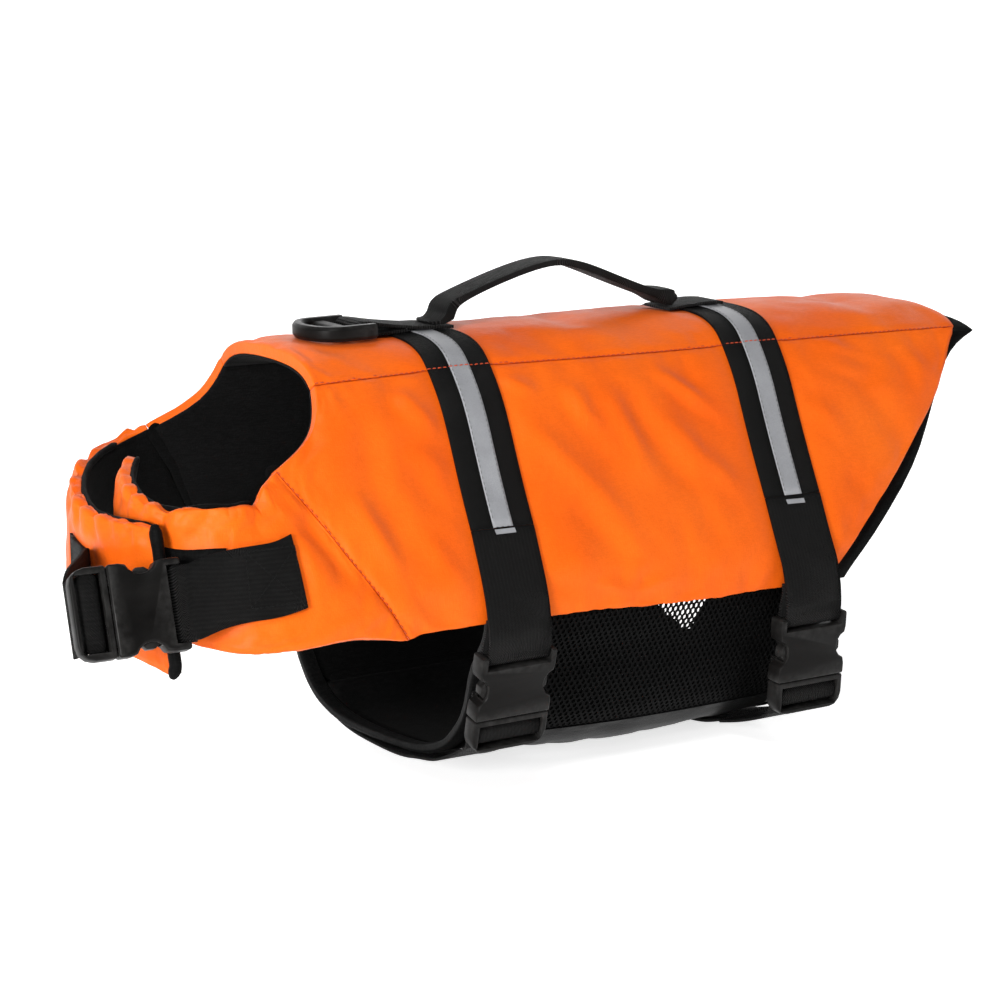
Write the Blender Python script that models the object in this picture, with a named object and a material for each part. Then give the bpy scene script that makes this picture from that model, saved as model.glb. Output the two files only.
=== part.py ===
"""Dog life jacket: padded back and sides, neck flaps, mesh belly, webbing, buckles, handle, leash ring.

Sizes are in millimetres and each mesh is written in metres. +X points to the tail, +Z up and -Y to the
dog's left. The origin is on the lining over the dog's spine, midway between the two belly straps.
A grid of points is an array of rows by columns by (x, y, z). On the body, rows run around the dog and
columns run from neck to tail.
"""
import math

import bmesh
import bpy
import numpy as np
from mathutils import Matrix

MM = 0.001
GAP = 0.3                    # between neighbouring pieces
LEFT, RIGHT = -1, 1          # sign of Y on the dog's left and right

# Straps and webbing
FRONT_STRAP_X = -93.0
REAR_STRAP_X = 99.0
BELT_WIDTH = 38.0
TAPE_WIDTH = 12.0
STRIP_THICK = 1.2
TAPE_THICK = 0.5
WEBBING_THICK = 1.4
SPINE_WIDTH = 25.0           # webbing of the spine and the handle

# Padding: thickness at a seam, and how much more between seams
SEAM_THICK = 6.0
SIDE_PUFF = 2.5
TOP_PUFF = 2.0
TOP_CORE = 5.5               # extra depth of the top pad towards the dog
SIDE_CORE = 1.0
LINING_THICK = 1.2

# Side of the body: depth below the spine seam, half width at each belly strap
SIDE_SECTION = np.array([
    # depth, front, rear
    (0, 47.0, 47.5),
    (12, 54.5, 53.5),
    (24, 61.5, 59.5),
    (38, 68.0, 65.5),
    (56, 76.0, 74.0),
    (77, 87.0, 84.5),
    (95, 96.0, 94.0),
    (111, 101.5, 100.5),
    (130, 104.8, 104.2)], float)

# Along the back: extra half width away from the straps, on the left and on the right, where the open
# neck spreads more; height of the spine seam and of the crown
BACK_LINE = np.array([
    # x, left slack, right slack, seam height, crown height
    (-217, 6.0, 15.0, 0.5, 14.0),
    (-181, 4.5, 10.0, 1.0, 14.0),
    (-145, 2.0, 4.5, 1.4, 13.4),
    (-112, 0.3, 0.3, 1.7, 12.9),
    (-74, 0.3, 0.3, 1.7, 12.9),
    (-45, 1.8, 1.8, 1.6, 13.0),
    (3, 2.4, 2.4, 0.6, 13.0),
    (50, 1.8, 1.8, 0.0, 13.2),
    (80, 0.3, 0.3, -0.4, 12.9),
    (118, 0.3, 0.3, -0.6, 12.2),
    (150, 1.5, 1.5, -0.7, 11.4),
    (200, 2.6, 2.6, -1.2, 9.6),
    (250, 3.5, 3.5, -2.0, 7.4)], float)

# Top of the back: share of the half width, share of the crown's rise above the seam
TOP_SECTION = np.array([(0, 1.0), (0.3, 0.98), (0.6, 0.87), (0.85, 0.55), (1, 0)], float)

# Neck cut and diagonal seam of a side panel: depth, x
NECK_CUT = np.array([(0, -181), (12, -183), (21, -187.5), (30, -196.5), (34.5, -208), (38, -215.5),
                     (63, -197), (83, -185.5), (106, -170.5), (126, -158)], float)
# Tail edge of a side panel: depth, x, how far the lining stands past it
TAIL_CUT = np.array([(0, 249, 19), (7, 243, 10), (14, 238, 4), (28, 228, 3.5), (45, 214.5, 3.5),
                     (58, 197.5, 11), (70, 183.5, 15), (99, 145.5, 15), (115, 125.5, 15),
                     (130, 109, 19)], float)
TAIL_LIP_ON_SPINE = 6.0
# Hem: x, depth
HEM = np.array([(-165, 124), (-159, 127), (-152, 124), (-113, 125), (-70, 126.5), (-37, 126),
                (0, 128), (22, 129), (60, 128), (110, 129.5)], float)

# Rows of a side panel, as shares of its depth; the cross stitch of the straps lies on one of them
SIDE_ROWS = np.array([0, 0.06, 0.13, 0.21, 0.30, 0.49, 0.635, 0.84, 0.94, 1.0])
NOMINAL_DEPTH = 126.0
STITCH_ROW = 6
FLAP_ROOT_ROW = 4            # the neck flap starts at this row
TOP_ROWS = np.array([-0.85, -0.6, -0.3, 0, 0.3, 0.6, 0.85])
FRONT_SHARES = (0, 0.08, 0.25, 0.6)
TAIL_SHARES = (0.3, 0.6, 0.85, 1.0)
FRONT_BELT = [FRONT_STRAP_X + k * BELT_WIDTH / 2 for k in (-1, 0, 1)]
REAR_BELT = [REAR_STRAP_X + k * BELT_WIDTH / 2 for k in (-1, 0, 1)]
MIDDLE_COLUMNS = FRONT_BELT + [-40.0, -5.0, 30.0, 58.0] + REAR_BELT[:2]
FRONT_BELT_COLUMN = len(FRONT_SHARES)
REAR_BELT_COLUMN = len(FRONT_SHARES) + len(MIDDLE_COLUMNS) - 2

# Neck flaps: top edge and bottom edge at each section, from the diagonal seam round to the end
LEFT_FLAP = np.array([
    # top x, y, z, bottom x, y, z
    (-223.0, -76.0, -44.0, -188, -108.5, -119.0),
    (-231.0, -78.5, -52.0, -215, -108.0, -120.5),
    (-243.0, -78.0, -52.0, -236, -102.0, -121.5),
    (-255.0, -73.5, -51.5, -248, -92.0, -122.5),
    (-265.0, -66.0, -53.5, -258, -78.0, -121.0),
    (-272.0, -52.0, -53.5, -266, -58.0, -119.5),
    (-274.5, -36.0, -51.5, -271, -35.0, -118.5),
    (-272.0, -17.0, -48.5, -272, -10.0, -117.0),
    (-265.0, 3.0, -45.0, -270, 12.0, -113.0),
    (-254.0, 20.0, -40.5, -263, 30.0, -103.0)], float)
RIGHT_FLAP = np.array([
    (-225.0, 84.0, -41.0, -190, 113.0, -119.0),
    (-236.0, 81.0, -44.0, -217, 110.0, -119.0),
    (-251.0, 71.0, -46.5, -240, 100.0, -121.0),
    (-266.0, 56.0, -50.0, -260, 81.0, -123.0),
    (-278.5, 36.0, -55.0, -273, 55.0, -125.0),
    (-286.0, 14.0, -59.5, -281, 25.0, -127.5),
    (-289.5, -10.0, -62.0, -284, -7.0, -129.5),
    (-287.0, -36.5, -61.4, -282.5, -38.5, -130.4),
    (-279.6, -60.8, -60.5, -274.6, -71.8, -134.5)], float)
FLAP_ROWS = np.array([0, 0.07, 0.271, 0.479, 0.771, 0.914, 1.0])
FLAP_COLUMNS = 34
FLAP_PUFF = 2.0
FLAP_CORE = 1.5
FLAP_SEAM_THICK = 5.0
GATHER_LENGTH = 20.0         # one gather along the neck edge
GATHER_HEIGHT = 0.9

# Belly: x, centre y, half width, lowest z, of superellipse sections
BELLY_SECTIONS = np.array([
    (-118, 13, 93, -215),
    (-70, 10, 94, -219),
    (0, 5, 95, -225),
    (70, 3, 95, -223.5),
    (150, 3, 95, -219)], float)
BELLY_TOP_Z = -112.0
BELLY_POWER = 3.0
BELLY_FRONT_X = (-104.0, -118.0)   # edge on the left side, edge on the right side
BELLY_REAR_X = (119.0, 123.0)
BELLY_BINDING = 9.0
BELLY_THICK = 3.0
MESH_THICK = 1.6
BINDING_THICK = 5.5
MESH_SEAM_Z = -201.0
BELLY_SIDE_TOP_Z = -119.0
HEM_Z = (-160.0, -128.0)     # between these the mesh draws in to the inside of the hem
HEM_INSIDE = SEAM_THICK + LINING_THICK + 1.8

# Side release buckle, for 38 mm webbing. In its own frame x runs across, y from the socket's bar to the
# prong half's end, z out.
BUCKLE_WIDTH = 46.0
BUCKLE_THICK = 11.0
SOCKET_LENGTH = 37.0
BASE_LENGTH = 19.0           # the prong half outside the socket
BASE_THICK = 10.0
SLOT_WIDTH = 39.2
BAR_RADIUS = 2.1             # of the bar that the webbing turns round
SOCKET_BAR = 2.5             # y of the two bars
PRONG_BAR = (48.4, 45.2)     # of the prong half's flat bar, the centres of its two round edges
SOCKET_SIDE = np.array([(23, 0), (23, 9), (22.3, 12.5), (19.6, 14.1), (17.6, 16.9), (17, 20),
                        (17.6, 23.1), (19.6, 25.9), (22.3, 27.5), (23, 31), (23, 37)], float)
PRONG_ARM = np.array([(13.5, 38.3), (13.5, 20), (15.3, 15), (18.2, 15), (20.3, 18), (20.3, 22.2),
                      (17.6, 24.8), (17.2, 38.3)], float)
CHEST_BUCKLE = ((-272.5, -83.5, -95.5), (-0.985, 0.15, -0.02), (-0.146, -0.906, 0.374))
FRONT_BUCKLE = ((FRONT_STRAP_X, -105.5, -139.7), (0, 0.23, -0.973), (0, -0.973, -0.23))
REAR_BUCKLE = ((REAR_STRAP_X, -108.5, -145.3), (0, 0.07, -0.997), (0, -0.997, -0.07))
# Webbing round a buckle bar: y, z in the buckle's frame
SOCKET_LEAD = ((-5.5, 3.6), (-1.0, 3.35))
SOCKET_TAIL = ((-1.0, -3.3), (-5.0, -3.1))
PRONG_TAIL = ((42.6, -3.0), (41.9, -5.2), (39.2, -6.7), (33, -7.1), (25, -7.2))

# Belts between body and buckle: y, z at the strap, outside the left hem and below the right hem
FRONT_DROP = ((-107.0, -113.0), (-109.8, -127.0))
REAR_DROP = ((-108.3, -116.0), (-111.6, -130.0))
FRONT_TAIL = ((-106.4, -126.5), (-107.2, -121.0))
REAR_TAIL = ((-108.6, -131.0), (-107.9, -126.0))
RIGHT_DROP = ((107.5, -113.0), (108.6, -127.0))
BELLY_LIFT = 2.9             # of the belt's middle over the belly's outer face
FRONT_RETURN = ((-52, -211.5), (-64, -206.0), (-76, -200.5), (-83, -196.5))
REAR_RETURN = ((-52, -219.5), (-68, -215.5), (-83, -210.5), (-93, -206.5))

# Chest webbing and patch: first and last column of a flap that they lie on, in the rows CHEST_ROWS
CHEST_ROWS = (2, 3, 4)
CHEST_LEFT_COLUMNS = (4, 8)
CHEST_RIGHT_COLUMNS = (20, 25)
PATCH_COLUMNS = (11, 17)
# Free run of the chest webbing: centre x, y, z, then the half width vector
CHEST_LEFT_FREE = ((-254.0, -91.6, -88.5, 0, -3.0, -18.7), (-264.5, -88.8, -92.0, 0.6, -6.0, -18.0))
CHEST_RIGHT_FREE = ((-297, -22, -94, 0, 0.5, -19), (-305, -36, -95, 0, -1.5, -18.9),
                    (-313, -48, -96, 0.5, -4.0, -18.6), (-319.5, -57, -97, 0.8, -6.0, -18.0))

# Spine webbing and handle: x, z of their middle lines
WEBBING_HEAVY = 1.6
REAR_SPINE_LINE = ((107, 17.7), (100, 18.4), (92, 18.4), (88, 17.8), (80, 17.7), (74, 16.8), (69, 16.5))
SPINE_LINE = ((-74.5, 17.8), (-82, 17.9), (-87, 18.6), (-93, 18.6), (-98, 19.1),
              (-104, 19.9), (-112, 20.9), (-120, 22.3), (-126, 23.5))
SPINE_TAIL = ((-127, 17.0), (-122, 16.9), (-114, 17.5), (-108, 17.8), (-103, 17.8))
HANDLE_WIDTH = 20.0
HANDLE_LINE = np.array([
    # x, z, thickness: doubled webbing, gathered thicker in the fold above each foot
    (-88, 20.5, 1.4), (-82.5, 19.9, 1.6), (-79, 20.5, 3.2), (-75.2, 23.2, 6.0), (-74.2, 26.6, 6.4),
    (-71.8, 29.7, 5.2), (-66, 32.5, 3.6), (-50, 38.2, 3.2), (-27, 45, 3.2), (-6, 49, 3.2),
    (10, 46, 3.2), (29.5, 38, 3.2), (50, 29.8, 3.2), (60, 26.4, 3.4), (65.5, 24.5, 4.8),
    (70, 23.2, 6.8), (75, 22.5, 7.2), (78.4, 21.9, 6.2)], float)


# Leash ring: its pin, size, and tilt at rest
PIN = np.array((-130.0, 0.0, 20.4))
PIN_RADIUS = 2.4
RING_LENGTH = 30.0           # from the pin to the front of the ring's middle line
RING_HALF_WIDTH = 19.0       # from the middle to the middle line of an arm
RING_ARM = 17.0              # straight part of an arm
RING_BODY = 6.0
RING_DEPTH = 8.0
RING_BAR = (13.7, 9.5)       # from the pin to the two edges' centres of the flat cross bar
RING_BAR_RADIUS = 2.3
RING_TILT = 0.6

ORANGE = (0.93, 0.19, 0.02)
BLACK = (0.012, 0.012, 0.013)
CHARCOAL = (0.03, 0.03, 0.032)
SILVER = (0.42, 0.42, 0.45)


# ---------------------------------------------------------------- numbers and grids

def follow(stations, values, where):
    """Values read from a smooth curve through the stations, level past both ends."""
    s = np.asarray(stations, float)
    v = np.asarray(values, float)
    where = np.clip(np.asarray(where, float), s[0], s[-1])
    slope = np.gradient(v, s, axis=0)
    i = np.clip(np.searchsorted(s, where) - 1, 0, len(s) - 2)
    h = s[i + 1] - s[i]
    t = (where - s[i]) / h
    if v.ndim > 1:
        h = np.asarray(h)[..., None]
        t = np.asarray(t)[..., None]
    return ((2 * t**3 - 3 * t**2 + 1) * v[i] + (t**3 - 2 * t**2 + t) * h * slope[i]
            + (3 * t**2 - 2 * t**3) * v[i + 1] + (t**3 - t**2) * h * slope[i + 1])


def straight(stations, values, where):
    return np.interp(where, stations, values)


def smooth_step(t):
    t = np.clip(t, 0, 1)
    return t * t * (3 - 2 * t)


def rise(distance, reach):
    """0 at a seam, 1 once the padding has reached its full height."""
    return np.sin(np.clip(np.asarray(distance, float) / reach, 0, 1) * math.pi / 2)


def unit(vectors):
    vectors = np.asarray(vectors, float)
    return vectors / np.linalg.norm(vectors, axis=-1, keepdims=True)


def normals(grid):
    """Unit normals of a grid, on the side that faces away from the dog."""
    around = np.gradient(grid, axis=0)
    along = np.gradient(grid, axis=1)
    return unit(np.cross(along, around))


# ---------------------------------------------------------------- meshes and materials

def clear_scene():
    for thing in list(bpy.data.objects):
        bpy.data.objects.remove(thing, do_unlink=True)


def finish_material(name, colour, roughness, metallic=0.0):
    material = bpy.data.materials.new(name)
    material.use_nodes = True
    shader = material.node_tree.nodes["Principled BSDF"]
    shader.inputs["Base Color"].default_value = (*colour, 1.0)
    shader.inputs["Roughness"].default_value = roughness
    shader.inputs["Metallic"].default_value = metallic
    return material


def add_object(name, mesh, material):
    if material:
        mesh.materials.append(material)
    thing = bpy.data.objects.new(name, mesh)
    bpy.context.scene.collection.objects.link(thing)
    return thing


def mesh_from(name, points, faces):
    """Mesh in metres with its faces turned outwards."""
    mesh = bpy.data.meshes.new(name)
    mesh.from_pydata([tuple(p * MM) for p in points], [], faces)
    bm = bmesh.new()
    bm.from_mesh(mesh)
    bmesh.ops.recalc_face_normals(bm, faces=bm.faces)
    bm.to_mesh(mesh)
    bm.free()
    mesh.shade_smooth()
    mesh.set_sharp_from_angle(angle=math.radians(50))
    return mesh


def sheet(name, outer, inner, material):
    """Closed solid between two grids of the same shape."""
    rows, columns = outer.shape[:2]
    size = rows * columns
    points = np.concatenate([outer.reshape(-1, 3), inner.reshape(-1, 3)])
    faces = []
    for r in range(rows - 1):
        for c in range(columns - 1):
            a = r * columns + c
            b, d, e = a + 1, a + columns, a + columns + 1
            faces += [(a, b, e), (a, e, d)]
            faces += [(a + size, e + size, b + size), (a + size, d + size, e + size)]
    rim = [r * columns for r in range(rows)]
    rim += [(rows - 1) * columns + c for c in range(1, columns)]
    rim += [r * columns + columns - 1 for r in range(rows - 2, -1, -1)]
    rim += list(range(columns - 2, 0, -1))
    for k, a in enumerate(rim):
        b = rim[(k + 1) % len(rim)]
        faces += [(a, b, b + size), (a, b + size, a + size)]
    return add_object(name, mesh_from(name, points, faces), material)


def strap(name, rows, thickness, material):
    """Webbing through rows of points across it; the rows lie in its middle."""
    rows = np.asarray(rows, float)
    lift = normals(rows) * thickness / 2
    return sheet(name, rows + lift, rows - lift, material)


def level_rows(line, width):
    """Rows across a line of (x, z) points on the middle of the back."""
    return np.array([[(x, side * width / 2, z) for side in (-1, 0, 1)] for x, z in line])


def turn(centre, radius, start, end, steps):
    """Points on an arc, as two plane coordinates; angles in degrees."""
    angles = np.radians(np.linspace(start, end, steps + 1))
    return [(centre[0] + radius * math.cos(a), centre[1] + radius * math.sin(a)) for a in angles]


def flat_bar(centres, radius):
    """Outline of a bar with two round edges, from the one further on to the nearer one."""
    return (turn((centres[0], 0), radius, -90, 90, 6) + turn((centres[1], 0), radius, 90, 270, 6))


def prism(name, outlines, low, high, axis, material=None):
    """Closed prisms from outlines across an axis, as (x, y) for axis 2 or (y, z) for axis 0."""
    points, faces = [], []
    for outline in outlines:
        first = len(points)
        count = len(outline)
        for height in (low, high):
            points += [(height, u, v) if axis == 0 else (u, v, height) for u, v in outline]
        faces += [tuple(range(first, first + count)), tuple(range(first + count, first + 2 * count))]
        for k in range(count):
            a, b = first + k, first + (k + 1) % count
            faces.append((a, b, b + count, a + count))
    return add_object(name, mesh_from(name, np.array(points, float), faces), material)


def box_outline(low, high):
    return [(low[0], low[1]), (high[0], low[1]), (high[0], high[1]), (low[0], high[1])]


def combine(thing, other, operation):
    """Boolean that stays on the object; the other solid isn't part of the jacket."""
    other.hide_render = True
    other.display_type = "WIRE"
    other.parent = thing
    change = thing.modifiers.new(other.name, "BOOLEAN")
    change.operation = operation
    change.object = other


def bevel(thing, width, segments):
    change = thing.modifiers.new("rounded edges", "BEVEL")
    change.width = width * MM
    change.segments = segments
    change.limit_method = "ANGLE"
    change.angle_limit = math.radians(50)


# ---------------------------------------------------------------- body of the jacket

def half_width(x, depth, side):
    share = smooth_step((x - FRONT_STRAP_X) / (REAR_STRAP_X - FRONT_STRAP_X))
    front = follow(SIDE_SECTION[:, 0], SIDE_SECTION[:, 1], depth)
    rear = follow(SIDE_SECTION[:, 0], SIDE_SECTION[:, 2], depth)
    slack = follow(BACK_LINE[:, 0], BACK_LINE[:, 1 if side == LEFT else 2], x)
    return front + (rear - front) * share + slack


def seam_height(x):
    return follow(BACK_LINE[:, 0], BACK_LINE[:, 3], x)


def crown_height(x):
    return follow(BACK_LINE[:, 0], BACK_LINE[:, 4], x)


def side_point(x, depth, side):
    return np.array((x, side * half_width(x, depth, side), seam_height(x) - depth))


def top_point(x, share):
    rise_share = follow(TOP_SECTION[:, 0], TOP_SECTION[:, 1], abs(share))
    height = seam_height(x) + (crown_height(x) - seam_height(x)) * rise_share
    side = LEFT if share < 0 else RIGHT
    return np.array((x, share * half_width(x, 0, side), height))


def column_places(depth):
    """x of every column at one depth, from the neck cut to the tail cut."""
    front = straight(NECK_CUT[:, 0], NECK_CUT[:, 1], depth)
    tail = straight(TAIL_CUT[:, 0], TAIL_CUT[:, 1], depth)
    places = [front + (FRONT_BELT[0] - front) * share for share in FRONT_SHARES]
    places += MIDDLE_COLUMNS
    belt_edge = min(REAR_BELT[2], REAR_STRAP_X + 0.5 * (tail - REAR_STRAP_X))
    places.append(belt_edge)
    places += [belt_edge + (tail - belt_edge) * share for share in TAIL_SHARES]
    return np.array(places)


def body_grid():
    """Seam-height surface of the body, from the left hem over the back to the right hem.

    Returns the points, the distance of each point from the nearest seam or edge, and the row numbers
    of the two spine seams.
    """
    rows, inset = [], []
    for side, shares in ((LEFT, SIDE_ROWS[::-1]), (RIGHT, SIDE_ROWS)):
        block, distance = [], []
        for share in shares:
            places = column_places(share * NOMINAL_DEPTH)
            hem = straight(HEM[:, 0], HEM[:, 1], places)
            depth = share * hem
            block.append([side_point(x, d, side) for x, d in zip(places, depth)])
            to_ends = np.minimum(places - places[0], places[-1] - places)
            distance.append(rise(to_ends, 22) * rise(np.minimum(depth, hem - depth), 20))
        rows.append(block)
        inset.append(distance)
    places = column_places(0)
    to_ends = np.minimum(places - places[0], places[-1] - places)
    top = [[top_point(x, share) for x in places] for share in TOP_ROWS]
    top_inset = [rise(to_ends, 22) * rise((1 - abs(share)) * 47, 20) for share in TOP_ROWS]
    grid = np.array(rows[0] + top + rows[1])
    puff = np.array(inset[0] + top_inset + inset[1])
    return grid, puff, len(SIDE_ROWS) - 1, len(SIDE_ROWS) + len(TOP_ROWS)


def draw_in(grid, edge, amount):
    """Move one edge row of a grid towards the next row."""
    moved = grid.copy()
    inner = 1 if edge == 0 else -2
    moved[edge] += unit(grid[inner] - grid[edge]) * amount
    return moved


def pad(grid, out, puff, outer_puff, core, seam_thick=SEAM_THICK):
    outer = grid + out * (puff * outer_puff)[..., None]
    inner = grid - out * (seam_thick + puff * core)[..., None]
    return outer, inner


def lining_of(inner, out):
    """Outer and inner faces of the lining that lies inside a pad."""
    return inner - out * GAP, inner - out * (GAP + LINING_THICK)


def with_lip(face, lips):
    """Adds a column of points past the tail edge."""
    step = unit(face[:, -1] - face[:, -2])
    end = face[:, -1] + step * np.asarray(lips)[:, None]
    return np.concatenate([face, end[:, None, :]], axis=1)


def build_body(orange, black):
    """Top and side panels with their linings; returns what the straps and flaps are laid on."""
    grid, puff, left_seam, right_seam = body_grid()
    out = normals(grid)
    last = len(grid) - 1
    spans = {
        "side_panel_left": (0, left_seam, SIDE_PUFF, SIDE_CORE),
        "top_panel": (left_seam, right_seam, TOP_PUFF, TOP_CORE),
        "side_panel_right": (right_seam, last, SIDE_PUFF, SIDE_CORE)}
    outer_all = grid.copy()
    for name, (first, end, outer_puff, core) in spans.items():
        part = grid[first:end + 1]
        part_out = out[first:end + 1]
        outer, inner = pad(part, part_out, puff[first:end + 1], outer_puff, core)
        outer_all[first:end + 1] = outer
        for edge, is_seam in ((0, first > 0), (-1, end < last)):
            if is_seam:
                outer = draw_in(outer, edge, GAP / 2)
                inner = draw_in(inner, edge, GAP / 2)
        sheet(name, outer, inner, orange)
        face, back = lining_of(inner, part_out)
        lips = lip_lengths(name)
        sheet(name.replace("panel", "lining"), with_lip(face, lips), with_lip(back, lips), black)
    return outer_all, out


def lip_lengths(name):
    depths = SIDE_ROWS * NOMINAL_DEPTH
    lips = straight(TAIL_CUT[:, 0], TAIL_CUT[:, 2], depths)
    if name.endswith("left"):
        return lips[::-1]
    if name.endswith("right"):
        return lips
    shares = np.abs(np.concatenate([[-1], TOP_ROWS, [1]]))
    return TAIL_LIP_ON_SPINE + (lips[0] - TAIL_LIP_ON_SPINE) * shares**3


# ---------------------------------------------------------------- neck flaps

class Flap:
    """Neck flap on a ruled surface, from the diagonal seam round to its free end."""

    def __init__(self, side, sections):
        self.side = side
        self.sections = sections
        middle = (sections[:, :3] + sections[:, 3:]) / 2
        root = self.root(np.array([0.5]))[0]
        line = np.concatenate([root[None], middle])
        self.run = np.concatenate([[0], np.cumsum(np.linalg.norm(np.diff(line, axis=0), axis=1))])

    def root(self, shares):
        """Points on the diagonal seam."""
        first = SIDE_ROWS[FLAP_ROOT_ROW]
        points = []
        for share in shares:
            row = first + (1 - first) * share
            x = straight(NECK_CUT[:, 0], NECK_CUT[:, 1], row * NOMINAL_DEPTH)
            depth = row * straight(HEM[:, 0], HEM[:, 1], x)
            points.append(side_point(x, depth, self.side))
        return np.array(points)

    def grid(self, lengths, shares):
        """Points at distances from the seam, and shares of the way from the top edge to the bottom."""
        roots = self.root(shares)
        rows = []
        for share, start in zip(shares, roots):
            line = self.sections[:, :3] * (1 - share) + self.sections[:, 3:] * share
            rows.append(follow(self.run, np.concatenate([start[None], line]), lengths))
        return np.array(rows)

    def frame(self, lengths, shares):
        points = self.grid(lengths, shares)
        ahead = self.grid(lengths + 0.5, shares)
        behind = self.grid(lengths - 0.5, shares)
        lower = self.grid(lengths, np.clip(shares + 0.01, 0, 1))
        upper = self.grid(lengths, np.clip(shares - 0.01, 0, 1))
        out = unit(np.cross(ahead - behind, lower - upper)) * self.side
        return points, -out


def build_flap(flap, name, seam_out, orange, black):
    lengths = flap.run[-1] * np.linspace(0, 1, FLAP_COLUMNS)
    points, out = flap.frame(lengths, FLAP_ROWS)
    root_out = np.array([follow(SIDE_ROWS, seam_out, SIDE_ROWS[FLAP_ROOT_ROW] * (1 - s) + s)
                         for s in FLAP_ROWS])
    out[:, 0] = unit(root_out)
    out[:, 1] = unit(out[:, 0] + out[:, 2])
    points[:, 0] += unit(points[:, 1] - points[:, 0]) * GAP
    from_top = FLAP_ROWS[:, None] * 75
    from_bottom = (1 - FLAP_ROWS[:, None]) * 75
    from_ends = np.minimum(lengths, flap.run[-1] - lengths)[None, :]
    puff = rise(from_ends, 18) * rise(np.minimum(from_top, from_bottom), 16)
    wave = np.sin(2 * math.pi * lengths / GATHER_LENGTH + 0.8 * np.sin(lengths / 19.0))
    gather = rise(from_ends, 14) * np.clip(1 - from_top / 22, 0, 1) * wave[None, :] * GATHER_HEIGHT
    outer, inner = pad(points, out, puff, FLAP_PUFF, FLAP_CORE, FLAP_SEAM_THICK)
    outer += out * gather[..., None]
    outer[0, :, 2] += gather[0]
    sheet(name, outer, inner, orange)
    face, back = lining_of(inner, out)
    sheet(name + "_lining", face, back, black)
    return outer, out


# ---------------------------------------------------------------- belly

def belly_row(z, side, x):
    """Point on the belly's outer face at a height."""
    centre, half, lowest = (follow(BELLY_SECTIONS[:, 0], BELLY_SECTIONS[:, k], x) for k in (1, 2, 3))
    drop = np.clip((BELLY_TOP_Z - z) / (BELLY_TOP_Z - lowest), 0, 1)
    return np.array((x, centre + side * half * (1 - drop**BELLY_POWER)**(1 / BELLY_POWER), z))


def belly_arc(angle, x):
    """Point on the belly's outer face; the angle runs from the left side, 0, to the right, pi."""
    centre, half, lowest = (follow(BELLY_SECTIONS[:, 0], BELLY_SECTIONS[:, k], x) for k in (1, 2, 3))
    power = 2 / BELLY_POWER
    y = centre - half * math.copysign(abs(math.cos(angle))**power, math.cos(angle))
    z = BELLY_TOP_Z - (BELLY_TOP_Z - lowest) * math.sin(angle)**power
    return np.array((x, y, z))


def seam_angle(x):
    """Angle on the belly's section where the mesh meets the padded panel."""
    lowest = follow(BELLY_SECTIONS[:, 0], BELLY_SECTIONS[:, 3], x)
    drop = (BELLY_TOP_Z - MESH_SEAM_Z) / (BELLY_TOP_Z - lowest)
    return math.asin(drop**(BELLY_POWER / 2))


def belly_turn(piece, count):
    """Steps across one piece from its left edge to its right edge, each by height or by share."""
    if piece == "left":
        return [("height", z) for z in np.linspace(BELLY_SIDE_TOP_Z, MESH_SEAM_Z, count)]
    if piece == "right":
        return [("height", z) for z in np.linspace(MESH_SEAM_Z, BELLY_SIDE_TOP_Z, count)]
    return [("share", share) for share in np.linspace(0, 1, count)]


def belly_point(x, piece, step):
    kind, value = step
    if kind == "height":
        side = LEFT if piece == "left" else RIGHT
        point = belly_row(value, side, x)
        drawn = smooth_step((value - HEM_Z[0]) / (HEM_Z[1] - HEM_Z[0]))
        inside = side * (half_width(x, seam_height(x) - value, side) - HEM_INSIDE)
        point[1] += (inside - point[1]) * drawn
        return point
    corner = seam_angle(x)
    return belly_arc(corner + (math.pi - 2 * corner) * value, x)


def belly_edge(ends, y):
    """x of the front or rear edge at a distance across the belly."""
    return ends[0] + (ends[1] - ends[0]) * smooth_step((y + 85.0) / 185.0)


def belly_grid(piece, count, front_inset, rear_inset, columns):
    """Rows across one piece of the belly; columns from an inset past its front edge to its rear."""
    grid = []
    for step in belly_turn(piece, count):
        y = belly_point(0.0, piece, step)[1]
        front = belly_edge(BELLY_FRONT_X, y)
        rear = belly_edge(BELLY_REAR_X, y)
        start = front + front_inset if front_inset >= 0 else rear + front_inset
        end = rear - rear_inset if rear_inset >= 0 else front - rear_inset
        grid.append([belly_point(start + (end - start) * share, piece, step) for share in columns])
    return np.array(grid)


def build_belly(black):
    inset = BELLY_BINDING + GAP
    columns = np.linspace(0, 1, 9)
    pieces = (("belly_mesh_left", "left", 9, MESH_THICK), ("belly_panel", "panel", 13, BELLY_THICK),
              ("belly_mesh_right", "right", 9, MESH_THICK))
    grids = [belly_grid(piece, count, inset, inset, columns) for name, piece, count, thick in pieces]
    out = -normals(np.concatenate([grids[0][:-1], grids[1], grids[2][1:]]))
    first = 0
    for (name, piece, count, thick), grid in zip(pieces, grids):
        piece_out = out[first:first + count]
        first += count - 1
        inner = grid - piece_out * thick
        if piece != "panel":
            edge = -1 if piece == "left" else 0
            grid, inner = draw_in(grid, edge, GAP), draw_in(inner, edge, GAP)
        sheet(name, grid, inner, black)
    profile = np.array((0, 0.15, 0.85, 1))
    swell = np.array((0.2, 1.0, 1.0, 0.2))[None, :, None] * (BINDING_THICK - BELLY_THICK) / 2
    for name, start, end in (("belly_binding_front", 0, -BELLY_BINDING),
                             ("belly_binding_rear", -BELLY_BINDING, 0)):
        grid = np.concatenate([belly_grid("left", 9, start, end, profile)[:-1],
                               belly_grid("panel", 11, start, end, profile),
                               belly_grid("right", 9, start, end, profile)[1:]])
        out = -normals(grid)
        below_hem = np.clip((-131 - grid[:, :1, 2:]) / 8, 0, 1)
        sheet(name, grid + out * swell * below_hem, grid - out * (BELLY_THICK + swell), black)


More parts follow.
